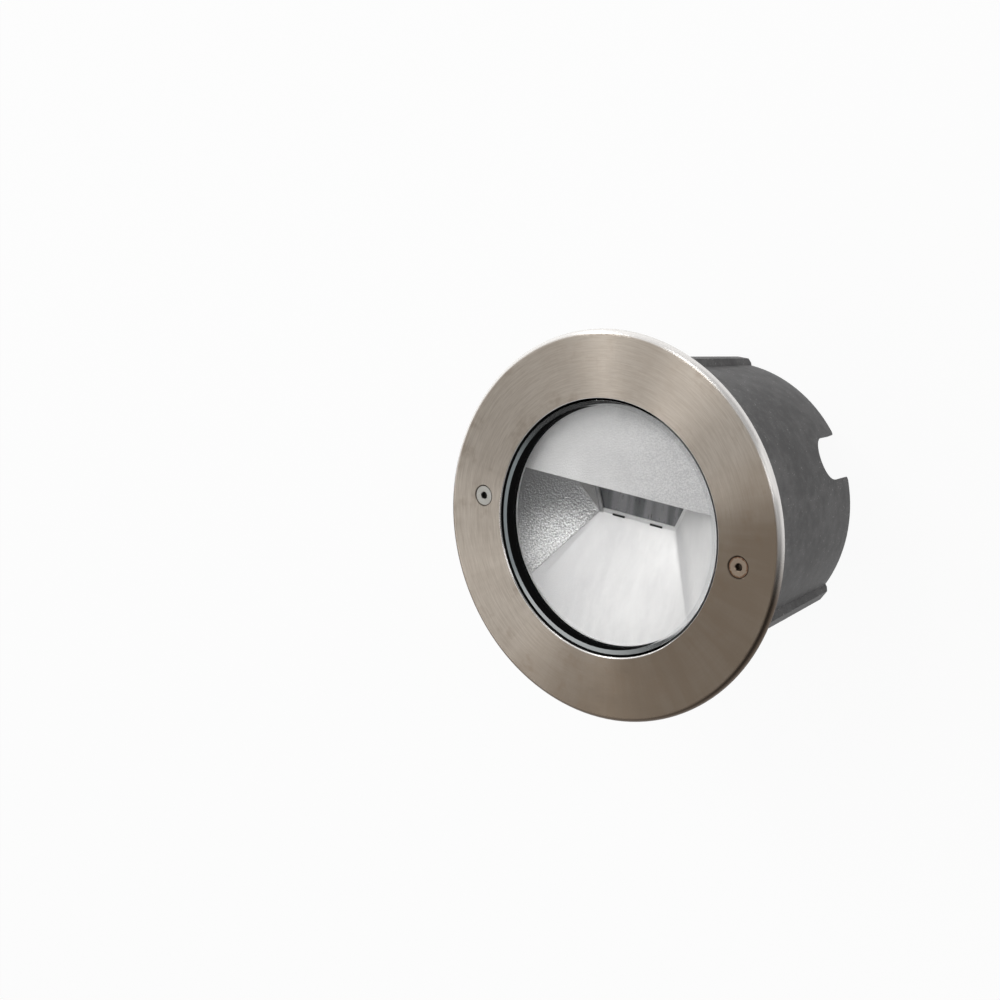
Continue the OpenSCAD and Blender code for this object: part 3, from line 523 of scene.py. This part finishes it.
def makeBowlMetal():
    # The left panel is hammered coarsely and glitters with painted glints, the others are satin
    bowl = {
        "colour": linear(246, 246, 246),
        "shade": linear(224, 224, 225),
        "deep": linear(166, 166, 167),
        "litTone": linear(253, 253, 253),
        "stripShade": linear(176, 176, 177),
        "foldX": 0.022,
        "foldY": 0.0004,
        "foldAngle": 56.35,
        "facetAngle": 33.05,
        "foldBlur": 0.0004,
        "floorZ": 0.0829,
        "stripRise": 0.0001,
        "stripRange": (-0.0195, -0.0205),
        "pebbleSize": 0.00095,
        "crumbSize": 0.0004275,
        "grainSize": 0.0016,
        "cloudSize": 0.018,
        "streakSize": 0.006,
        "streakStretch": (1.0, 0.25, 0.25),
        "streakMiddle": 0.4,
        "streakShade": 1.1,
        "cloudRange": (0.4, 0.7),
        "cloudShade": 0.2,
        "crumbShade": 0.4,
        "grainShade": 0.5,
        "leftRange": (0.012, -0.035),
        "leftShade": 0.9,
        "foldRange": (0.009, 0.0),
        "poolX": -0.037,
        "poolY": -0.019,
        "poolRange": (0.0245, 0.003),
        "poolGlint": 0.85,
        "outerGlint": 0.15,
        "glintSize": 0.0007,
        "glintRange": (0.38, 0.62),
        "metallic": 0.6,
        "leftMetallic": 0.4,
        "facetPaint": 0.3,
        "rightPaint": 0.5,
        "roughness": 0.52,
        "leftGloss": 0.22,
        "crumbRough": 0.08,
        "coarseShare": 0.93,
        "satinShare": 0.07,
        "depth": 0.00034,
        "strength": 0.8,
    }
    f = Finish("bowl_metal")
    place = f.place()
    x, y, z = f.axes(place)
    fold = math.radians(bowl["foldAngle"])
    blur = bowl["foldBlur"]
    beyondLeft = (y + bowl["foldY"]) * math.cos(fold) - (x + bowl["foldX"]) * math.sin(fold)
    left = f.step(beyondLeft, -blur, blur)
    beyondRight = (y + bowl["foldY"]) * math.cos(fold) + (x - bowl["foldX"]) * math.sin(fold)
    right = f.step(beyondRight, -blur, blur)
    # The flat facet beside the lamp window, and the strip of floor that joins it, which is painted darker
    # as shade
    lean = math.radians(bowl["facetAngle"])
    beyondFacet = (y + bowl["foldY"]) * math.sin(lean) + (x + bowl["foldX"]) * math.cos(lean)
    facet = f.step(beyondFacet, -blur, blur) * left
    stripShade = f.step(z, bowl["floorZ"] + bowl["stripRise"], bowl["floorZ"]) * f.step(x, *bowl["stripRange"])
    coarse = left * (1 - facet)
    pebble = f.lumps(place, bowl["pebbleSize"], smooth=0.5)
    crumb = f.noise(place, bowl["crumbSize"])
    grain = f.noise(place, bowl["grainSize"], detail=3.0, rough=0.6)
    cloud = f.noise(place, bowl["cloudSize"], detail=3.0, rough=0.55)
    streak = f.noise(f.stretch(place, bowl["streakStretch"]), bowl["streakSize"], detail=3.0, rough=0.6)
    # The satin panels carry painted shade towards the left and along the right fold
    shade = ((streak - bowl["streakMiddle"]) * bowl["streakShade"]
             + f.step(cloud, *bowl["cloudRange"], end=bowl["cloudShade"])
             + swing(crumb, bowl["crumbShade"]) + swing(grain, bowl["grainShade"])
             + f.step(x, *bowl["leftRange"], end=bowl["leftShade"])
             + right * f.step(beyondRight, *bowl["foldRange"]))
    satin = f.blend(stripShade, f.blend(shade, bowl["colour"], bowl["shade"]), bowl["stripShade"])
    # The coarse panel carries a painted highlight with painted glints round one spot, and painted shade
    # towards the hood
    highlightPool = f.step(f.reach(x - bowl["poolX"], y - bowl["poolY"]), *bowl["poolRange"])
    glintSpeck = f.step(f.noise(place, bowl["glintSize"], detail=1.0), *bowl["glintRange"])
    glintsAndShade = highlightPool + (glintSpeck - 0.5) * (highlightPool * bowl["poolGlint"] + bowl["outerGlint"])
    base = f.blend(coarse, satin, f.blend(glintsAndShade, bowl["deep"], bowl["litTone"]))
    height = ((pebble * 0.8 + crumb * 0.35) * (left * bowl["coarseShare"] + bowl["satinShare"])
              + grain * 0.05)
    return f.done(f.surface({
        "Base Color": base,
        "Metallic": (bowl["metallic"] + coarse * bowl["leftMetallic"] - facet * bowl["facetPaint"]
                     - right * bowl["rightPaint"]),
        "Roughness": bowl["roughness"] - coarse * bowl["leftGloss"] + swing(crumb, bowl["crumbRough"]),
        "Normal": f.bump(height, bowl["depth"], bowl["strength"])}))


def makePlateMetal():
    # Dull grey anodised plate, rolled along Y, with painted reflections in soft stripes along Y
    plate = {
        "light": linear(158, 158, 160),
        "dark": linear(112, 113, 115),
        "rollStretch": (1.0, 0.04, 1.0),
        "rollSize": 0.00025,
        "reflectionSize": 0.006,
        "reflectionRange": (0.35, 0.65),
        "roughness": 0.3,
        "rollRough": 0.2,
        "depth": 0.00003,
        "strength": 0.7,
    }
    f = Finish("plate_metal")
    drawn = f.stretch(f.place(), plate["rollStretch"])
    roll = f.noise(drawn, plate["rollSize"], detail=3.0, rough=0.6)
    reflectionBands = f.noise(drawn, plate["reflectionSize"], detail=1.0, rough=0.4)
    return f.done(f.surface({
        "Base Color": f.blend(f.step(reflectionBands, *plate["reflectionRange"]), plate["light"], plate["dark"]),
        "Metallic": 1.0, "Roughness": plate["roughness"] + swing(roll, plate["rollRough"]),
        "Normal": f.bump(roll, plate["depth"], plate["strength"])}))


def makeGlass():
    # Lamps reach what lies under the glass through the second shader
    glass = {
        "colour": (0.99, 0.99, 0.987, 1),
        "shadow": (0.955, 0.95, 0.945, 1),
        "bend": 1.5,
        "smearSize": 0.03,
        "smearRange": (0.55, 0.85),
        "smearRough": 0.008,
    }
    f = Finish("clear_glass")
    smear = f.noise(f.place(), glass["smearSize"], detail=3.0, rough=0.6)
    clear = f.surface({
        "Base Color": glass["colour"], "IOR": glass["bend"], "Transmission Weight": 1.0,
        "Roughness": f.step(smear, *glass["smearRange"], end=glass["smearRough"])})
    through = f.add("ShaderNodeBsdfTransparent", None, {"Color": glass["shadow"]})
    isShadow = f.add("ShaderNodeLightPath", output="Is Shadow Ray")
    return f.done(f.mixShader(isShadow, clear, through))


def makeGroundGlass():
    # The glass's ground bevel: painted light below, painted shade above, and clearer towards the upper
    # right
    glass = {
        "dull": (linear(116, 126, 129), linear(132, 141, 143)),
        "litTone": (linear(182, 188, 189), linear(206, 210, 210)),
        "dark": linear(30, 32, 33),
        "clear": (0.985, 0.99, 0.99, 1),
        "bend": 1.5,
        "gritSize": 0.0003,
        "stroke": {"width": 0.0004, "length": 0.02},
        "clearTowards": (0.75, 0.6),
        "clearRange": (-0.04, 0.01),
        "clearShare": 0.85,
        "gritClear": 0.3,
        "litBelowRange": (-0.028, -0.046),
        "shadedAboveRange": (0.018, 0.046),
        "roughness": 0.38,
        "gritRough": 0.2,
        "depth": 0.00004,
        "strength": 0.6,
    }
    f = Finish("ground_glass")
    place = f.place()
    x, y = f.axes(place, "XY")
    grit = f.noise(place, glass["gritSize"], detail=3.0, rough=0.6)
    drawn = circles(f, place, **glass["stroke"])
    # Painted shade darkens the bevel above and painted light brightens it below
    dull = f.blend(f.step(y, *glass["shadedAboveRange"]), f.blend(drawn, *glass["dull"]), glass["dark"])
    base = f.blend(f.step(y, *glass["litBelowRange"]), dull, f.blend(drawn, *glass["litTone"]))
    ground = f.surface({
        "Base Color": base, "Roughness": glass["roughness"] + swing(grit, glass["gritRough"]),
        "Normal": f.bump(grit, glass["depth"], glass["strength"])})
    clear = f.surface({
        "Base Color": glass["clear"], "Roughness": 0.0, "IOR": glass["bend"],
        "Transmission Weight": 1.0})
    side = f.step(along((x, y), glass["clearTowards"]), *glass["clearRange"])
    clearness = side * (glass["clearShare"] + swing(grit, glass["gritClear"]))
    return f.done(f.mixShader(clearness, ground, clear))


def makeEdgeEnamel():
    # Black enamel on the glass's side and shoulder, without gloss
    enamel = {
        "black": (linear(5, 5, 6), linear(11, 11, 12)),
        "litPale": linear(226, 227, 228),
        "gritSize": 0.0005,
        "roughness": 0.7,
        "gritRough": 0.2,
        "depth": 0.00003,
        "strength": 0.6,
    }
    f = Finish("edge_enamel")
    place = f.place()
    grit = f.noise(place, enamel["gritSize"], detail=3.0)
    # The right side is painted pale, as a painted highlight
    base = f.blend(litPaleSide(f, place), f.blend(grit, *enamel["black"]), enamel["litPale"])
    return f.done(f.surface({
        "Base Color": base, "Roughness": enamel["roughness"] + grit * enamel["gritRough"],
        "Specular IOR Level": 0.0, "Normal": f.bump(grit, enamel["depth"], enamel["strength"])}))


def makeSealRubber():
    # Soot black and without gloss, so that the ring round the reflector stays dark under the glass
    seal = {
        "black": (linear(6, 6, 7), linear(16, 16, 17)),
        "litPale": linear(198, 203, 206),
        "gritSize": 0.0006,
        "roughness": 0.7,
        "gritRough": 0.2,
        "depth": 0.00003,
        "strength": 0.5,
    }
    f = Finish("seal_rubber")
    place = f.place()
    grit = f.noise(place, seal["gritSize"], detail=3.0, rough=0.6)
    # The right side is painted pale, as a painted highlight
    base = f.blend(litPaleSide(f, place), f.blend(grit, *seal["black"]), seal["litPale"])
    return f.done(f.surface({
        "Base Color": base, "Roughness": seal["roughness"] + swing(grit, seal["gritRough"]),
        "Specular IOR Level": 0.0, "Normal": f.bump(grit, seal["depth"], seal["strength"])}))


def makeRubber():
    # The trim's gasket and the gland's seals, with dust in specks
    rubber = {
        "colour": linear(22, 22, 23),
        "dust": linear(72, 71, 69),
        "gritSize": 0.0004,
        "dustSize": 0.0013,
        "dustRange": (0.6, 0.75),
        "dustShare": 0.3,
        "roughness": 0.55,
        "gritRough": 0.2,
        "depth": 0.00005,
        "strength": 0.6,
    }
    f = Finish("black_rubber")
    place = f.place()
    grit = f.noise(place, rubber["gritSize"], detail=3.0, rough=0.6)
    dust = f.step(f.noise(place, rubber["dustSize"], detail=3.0, rough=0.7), *rubber["dustRange"])
    return f.done(f.surface({
        "Base Color": f.blend(dust * rubber["dustShare"], rubber["colour"], rubber["dust"]),
        "Roughness": rubber["roughness"] + swing(grit, rubber["gritRough"]),
        "Normal": f.bump(grit, rubber["depth"], rubber["strength"])}))


def makeBlackMetal():
    # The clamp ring's black coat
    metal = {
        "colour": linear(24, 24, 25),
        "shade": linear(40, 40, 41),
        "gritSize": 0.0005,
        "cloudSize": 0.01,
        "cloudRange": (0.4, 0.7),
        "metallic": 0.3,
        "roughness": 0.42,
        "gritRough": 0.2,
        "depth": 0.00005,
        "strength": 0.6,
    }
    f = Finish("black_metal")
    place = f.place()
    grit = f.noise(place, metal["gritSize"], detail=3.0, rough=0.6)
    cloud = f.noise(place, metal["cloudSize"], detail=3.0)
    return f.done(f.surface({
        "Base Color": f.blend(f.step(cloud, *metal["cloudRange"]), metal["colour"], metal["shade"]),
        "Metallic": metal["metallic"], "Roughness": metal["roughness"] + swing(grit, metal["gritRough"]),
        "Normal": f.bump(grit, metal["depth"], metal["strength"])}))


def makeBrass():
    # Threaded inserts, terminal screws and the earth screw
    brass = {
        "colour": linear(212, 178, 108),
        "shade": linear(168, 134, 76),
        "gritSize": 0.0003,
        "cloudSize": 0.002,
        "cloudRange": (0.35, 0.7),
        "roughness": 0.3,
        "gritRough": 0.2,
        "depth": 0.00003,
        "strength": 0.6,
    }
    f = Finish("brass")
    place = f.place()
    grit = f.noise(place, brass["gritSize"], detail=3.0, rough=0.6)
    cloud = f.noise(place, brass["cloudSize"], detail=3.0)
    return f.done(f.surface({
        "Base Color": f.blend(f.step(cloud, *brass["cloudRange"]), brass["colour"], brass["shade"]),
        "Metallic": 1.0, "Roughness": brass["roughness"] + grit * brass["gritRough"],
        "Normal": f.bump(grit, brass["depth"], brass["strength"])}))


mouldings = {
    "blackPlastic": {"name": "black_plastic", "colour": linear(30, 30, 31),
                     "shade": linear(44, 44, 45), "roughness": 0.45},
    "driver": {"name": "driver_plastic", "colour": linear(222, 221, 215),
               "shade": linear(206, 204, 197), "roughness": 0.5},
    "terminal": {"name": "terminal_plastic", "colour": linear(218, 217, 212),
                 "shade": linear(202, 200, 194), "roughness": 0.35},
    "board": {"name": "board_white", "colour": linear(232, 232, 226),
              "shade": linear(218, 219, 214), "roughness": 0.3},
    "chip": {"name": "chip_yellow", "colour": linear(236, 204, 96),
             "shade": linear(222, 186, 74), "roughness": 0.35, "gritSize": 0.0003},
    "nylon": {"name": "nylon", "colour": linear(226, 225, 216),
              "shade": linear(208, 206, 196), "roughness": 0.45},
}


def makeMoulded(name, colour, shade, roughness, gritSize=0.0005):
    # Moulded plastic: a fine skin with slow changes of tone
    skin = {
        "cloudSize": 0.008,
        "cloudRange": (0.35, 0.7),
        "gritRough": 0.15,
        "depth": 0.00004,
        "strength": 0.6,
    }
    f = Finish(name)
    place = f.place()
    grit = f.noise(place, gritSize, detail=3.0, rough=0.6)
    cloud = f.noise(place, skin["cloudSize"], detail=3.0, rough=0.6)
    return f.done(f.surface({
        "Base Color": f.blend(f.step(cloud, *skin["cloudRange"]), colour, shade),
        "Roughness": roughness + swing(grit, skin["gritRough"]),
        "Normal": f.bump(grit + cloud * 0.3, skin["depth"], skin["strength"])}))


finishes = {
    "trimSteel": makeTrimSteel(),
    "leftScrew": makeScrewSteel(**bezelScrews["left"]),
    "rightScrew": makeScrewSteel(**bezelScrews["right"]),
    "stainless": makeSmallSteel(),
    "sleeve": makeSleevePlastic(),
    "cast": makeCastBody(),
    "hood": makeHoodMetal(),
    "bowl": makeBowlMetal(),
    "plate": makePlateMetal(),
    "glass": makeGlass(),
    "groundGlass": makeGroundGlass(),
    "edgeEnamel": makeEdgeEnamel(),
    "sealRubber": makeSealRubber(),
    "rubber": makeRubber(),
    "blackMetal": makeBlackMetal(),
    "brass": makeBrass(),
}
for mouldingName, values in mouldings.items():
    finishes[mouldingName] = makeMoulded(**values)
print("scene:", len(finishes), "finishes made")

nodeFinishes = {
    "installation_sleeve": "sleeve", "threaded_inserts": "brass", "canister": "cast",
    "lens_glass": "glass", "lens_gasket": "sealRubber", "clamp_ring": "blackMetal",
    "clamp_screws": "stainless", "reflector_hood": "hood", "reflector_bowl": "bowl",
    "chassis_plate": "plate", "chassis_screws": "stainless", "lamp_bracket": "plate",
    "bracket_screws": "stainless", "lamp_board": "board", "lamp_chips": "chip",
    "driver": "driver", "driver_screws": "stainless", "terminal_block": "terminal",
    "terminal_screws": "brass", "earth_screw": "brass", "cable_gland": "blackPlastic",
    "gland_o_ring": "rubber", "gland_seal": "rubber", "gland_nut": "blackPlastic",
    "gland_locknut": "blackPlastic", "breather_valve": "blackPlastic", "trim_ring": "trimSteel",
    "trim_gasket": "rubber", "washer_left": "nylon", "washer_right": "nylon",
    "bezel_screw_left": "leftScrew", "bezel_screw_right": "rightScrew",
}
for nodeName, finishName in nodeFinishes.items():
    mesh = nodes[nodeName].data
    if not mesh.materials:
        mesh.materials.append(None)
    for slotIndex in range(len(mesh.materials)):
        mesh.materials[slotIndex] = finishes[finishName]
print("scene:", len(nodeFinishes), "CAD nodes dressed")

# How near points are made one, and how short an edge is taken out
joining = {"weld": 1e-6, "sliver": 1e-7}


def finishPiece(name, bm, body, materials, sharpAngle):
    # Turns a bmesh into an object at the origin that rides on a body
    mesh = bpy.data.meshes.new(name)
    bm.to_mesh(mesh)
    bm.free()
    for material in materials:
        mesh.materials.append(material)
    mesh.shade_smooth()
    mesh.set_sharp_from_angle(angle=math.radians(sharpAngle))
    piece = bpy.data.objects.new(name, mesh)
    bpy.context.scene.collection.objects.link(piece)
    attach(piece, body)
    return piece


def revolve(profile, steps):
    # Spins a closed outline of (radius, height) points round the Z axis
    bm = bmesh.new()
    points = [bm.verts.new((radius, 0, height)) for radius, height in profile]
    edges = [bm.edges.new((a, b)) for a, b in zip(points, points[1:] + points[:1])]
    bmesh.ops.spin(bm, geom=points + edges, cent=(0, 0, 0), axis=(0, 0, 1), angle=math.tau,
                   steps=steps, use_merge=True)
    bmesh.ops.remove_doubles(bm, verts=bm.verts, dist=joining["weld"])
    bmesh.ops.dissolve_degenerate(bm, dist=joining["sliver"], edges=bm.edges)
    bmesh.ops.recalc_face_normals(bm, faces=bm.faces)
    return bm


def roundEdges(bm, width):
    # Bevels every edge that is sharper than an angle, in degrees
    bevel = {"angle": 25, "segments": 2}
    sharp = [edge for edge in bm.edges if len(edge.link_faces) == 2
             and edge.calc_face_angle() > math.radians(bevel["angle"])]
    bmesh.ops.bevel(bm, geom=sharp, offset=width, offset_type="OFFSET", segments=bevel["segments"],
                    profile=0.5, affect="EDGES", material=-1, clamp_overlap=True)


def makeLens():
    # The CAD glass with a ground bevel round its face and enamel on its side
    lens = {
        "faceRadius": 0.0599,
        "bevelWidth": 0.0023,
        "bevelDrop": 0.0003,
        "stepDrop": 0.0060,
        "edgeRound": 0.00008,
        "steps": 192,
        "sharpAngle": 6,
    }
    low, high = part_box("lens_glass")
    foot = high.x
    shoulder = high.z - lens["stepDrop"]
    face = lens["faceRadius"]
    inner = face - lens["bevelWidth"]
    brim = high.z - lens["bevelDrop"]
    bm = revolve([(0, low.z), (foot, low.z), (foot, shoulder), (face, shoulder), (face, brim),
                  (inner, high.z), (0, high.z)], lens["steps"])
    # Material 1 is the ground bevel, 2 the enamel on the side, and 0 the clear rest
    for polygon in bm.faces:
        centre = polygon.calc_center_median()
        isBorder = math.hypot(centre.x, centre.y) > inner
        if isBorder and centre.z > brim:
            polygon.material_index = 1
        elif isBorder and centre.z > low.z + lens["edgeRound"]:
            polygon.material_index = 2
    roundEdges(bm, lens["edgeRound"])
    # Only a small angle is shaded round, or the flat glass would magnify
    piece = finishPiece("lens", bm, "luminaire",
                        [finishes["glass"], finishes["groundGlass"], finishes["edgeEnamel"]],
                        lens["sharpAngle"])
    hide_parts("lens_glass")


def makeBowl():
    # The CAD bowl with its triangles joined, so that its panels shade smoothly and its folds stay crisp
    bowl = {"flatAngle": 0.5, "sharpAngle": 9}
    bm = bmesh.new()
    bm.from_mesh(nodes["reflector_bowl"].data)
    bmesh.ops.remove_doubles(bm, verts=bm.verts, dist=joining["weld"])
    bmesh.ops.dissolve_limit(bm, angle_limit=math.radians(bowl["flatAngle"]), verts=bm.verts,
                             edges=bm.edges)
    piece = finishPiece("reflector_shell", bm, "luminaire", [finishes["bowl"]],
                        bowl["sharpAngle"])
    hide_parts("reflector_bowl")


def makeClips():
    # Two black clips hold the reflector's front fold on the chassis plate
    clip = {
        "centreX": 0.0108,
        "centreY": -0.0002,
        "size": (0.0068, 0.0009, 0.0007),
        "rise": 0.001,
        "edgeRound": 0.0001,
        "sharpAngle": 28,
    }
    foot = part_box("chassis_plate")[1].z + clip["rise"]
    bm = bmesh.new()
    for side in (-1, 1):
        made = bmesh.ops.create_cube(bm, size=1)["verts"]
        bmesh.ops.scale(bm, vec=clip["size"], verts=made)
        bmesh.ops.translate(bm, verts=made, vec=(
            side * clip["centreX"], clip["centreY"], foot + clip["size"][2] / 2))
    roundEdges(bm, clip["edgeRound"])
    finishPiece("reflector_clips", bm, "luminaire", [finishes["blackPlastic"]],
                clip["sharpAngle"])


makeLens()
makeBowl()
makeClips()
print("scene: glass, reflector and clips made")

# The camera as it stood for the photograph: angles in degrees, distances in metres, the sensor in
# millimetres, and the focal length and centre in pixels of the picture
camera = {
    "azimuth": 32.853,
    "elevation": 14.703,
    "roll": 6.503,
    "distance": 0.65965,
    "nearest": 0.01,
    "sensor": 36.0,
    "picture": 1000,
    "focal": 1418.2,
    "centre": (603.48, 529.44),
}


def makeCamera():
    azimuth = math.radians(camera["azimuth"])
    elevation = math.radians(camera["elevation"])
    roll = math.radians(camera["roll"])
    back = Vector((math.sin(azimuth) * math.cos(elevation), math.sin(elevation),
                   math.cos(azimuth) * math.cos(elevation)))
    across = Vector((0, 1, 0)).cross(back).normalized()
    up = back.cross(across)
    right = across * math.cos(roll) + up * math.sin(roll)
    top = up * math.cos(roll) - across * math.sin(roll)
    target = Vector((0, 0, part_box("trim_ring")[1].z))
    data = bpy.data.cameras.new("camera")
    data.sensor_width = camera["sensor"]
    data.lens = camera["focal"] / camera["picture"] * camera["sensor"]
    data.shift_x = 0.5 - camera["centre"][0] / camera["picture"]
    data.shift_y = camera["centre"][1] / camera["picture"] - 0.5
    data.clip_start = camera["nearest"]
    eye = bpy.data.objects.new("camera", data)
    bpy.context.scene.collection.objects.link(eye)
    turn = Matrix((right, top, back)).transposed().to_4x4()
    eye.matrix_world = Matrix.Translation(target + back * camera["distance"]) @ turn
    bpy.context.scene.camera = eye
    return back, target


cameraBack, target = makeCamera()
print("scene: camera set")

# Each soft box looks at the light's face from a direction; its size is in metres, its power in watts
softBoxes = {
    "key": {"direction": (-0.205, 0.5, 0.84), "size": (0.12, 0.5), "power": 1.75},
    "second key": {"direction": (-0.635, 0.528, 0.564), "size": (0.12, 0.5), "power": 2.15},
    "low left": {"direction": (-0.745, -0.37, 0.55), "size": (0.5, 0.5), "power": 0.75},
    "camera side": {"direction": (0.307, 0.182, 0.93), "size": (0.22, 0.22), "power": 0.75},
    "right": {"direction": (0.8, 0.5, 0.45), "size": (0.5, 0.5), "power": 1.2},
}
boxDistance = 1.3


def makeSoftBox(name, direction, size, power):
    data = bpy.data.lights.new(name, "AREA")
    data.shape = "RECTANGLE"
    data.size, data.size_y = size
    data.energy = power
    box = bpy.data.objects.new(name, data)
    bpy.context.scene.collection.objects.link(box)
    away = Vector(direction).normalized()
    turn = away.to_track_quat("Z", "Y").to_matrix().to_4x4()
    box.matrix_world = Matrix.Translation(target + away * boxDistance) @ turn


def makeSky():
    # Brighter on the key's side and near the horizon. A dark flag hangs where the flat glass would
    # mirror it, so that the glass stays clear, and the camera itself sees the sky white.
    sky = {
        "colour": (1.0, 1.0, 1.0, 1),
        "keySide": 0.82,
        "farSide": 0.13,
        "sideRange": (-0.75, 0.4),
        "horizon": 0.5,
        "horizonHeight": 0.5,
        "flagInner": 5.5,
        "flagOuter": 9.5,
        "flagOpen": 0.1,
        "seen": 0.985,
    }
    f = Finish("sky", isSky=True)
    axes = f.axes(f.add("ShaderNodeTexCoord", output="Generated"))
    side = f.step(axes[0], *sky["sideRange"], sky["keySide"], sky["farSide"])
    horizon = f.step(axes[2], 0.0, sky["horizonHeight"], sky["horizon"], 0.0)
    near = math.cos(math.radians(sky["flagInner"]))
    far = math.cos(math.radians(sky["flagOuter"]))
    mirrored = (-cameraBack.x, -cameraBack.y, cameraBack.z)
    unflagged = f.step(along(axes, mirrored), far, near, 1.0, sky["flagOpen"])
    isSeen = f.add("ShaderNodeLightPath", output="Is Camera Ray")
    strength = (side + horizon) * unflagged * (1 - isSeen) + isSeen * sky["seen"]
    bpy.context.scene.world = f.done(f.add("ShaderNodeBackground", None, {
        "Color": sky["colour"], "Strength": strength}))


def makeFloor():
    # Plain and pale. The camera, glossy and transmitted rays see it nearly white.
    ground = {
        "size": 4.0,
        "drop": 0.0002,
        "segments": 8,
        "colour": (0.92, 0.92, 0.92, 1),
        "shade": (0.9, 0.9, 0.9, 1),
        "cloudSize": 0.4,
        "white": 0.94,
    }
    f = Finish("floor")
    cloud = f.noise(f.place(), ground["cloudSize"])
    colour = f.blend(cloud, ground["colour"], ground["shade"])
    lit = f.add("ShaderNodeBsdfDiffuse", None, {"Color": colour})
    white = f.add("ShaderNodeEmission", None, {"Color": (1, 1, 1, 1), "Strength": 1.0})
    isSeen, isGlossy, isThrough = [f.add("ShaderNodeLightPath", output=ray) for ray in (
        "Is Camera Ray", "Is Glossy Ray", "Is Transmission Ray")]
    isAny = f.add("ShaderNodeMath", {"operation": "MINIMUM"}, {0: isSeen + isGlossy + isThrough, 1: 1.0})
    material = f.done(f.mixShader(isAny * ground["white"], lit, white))

    bm = bmesh.new()
    bmesh.ops.create_grid(bm, x_segments=ground["segments"], y_segments=ground["segments"],
                          size=ground["size"] / 2)
    bmesh.ops.translate(bm, vec=(0, 0, -ground["drop"]), verts=bm.verts)
    mesh = bpy.data.meshes.new("floor")
    bm.to_mesh(mesh)
    bm.free()
    mesh.materials.append(material)
    floor = bpy.data.objects.new("floor", mesh)
    bpy.context.scene.collection.objects.link(floor)


for boxName, values in softBoxes.items():
    makeSoftBox(boxName, **values)
makeSky()
makeFloor()
bpy.context.scene.view_settings.view_transform = "Standard"
print("scene: studio lit by", len(softBoxes), "soft boxes and the sky")
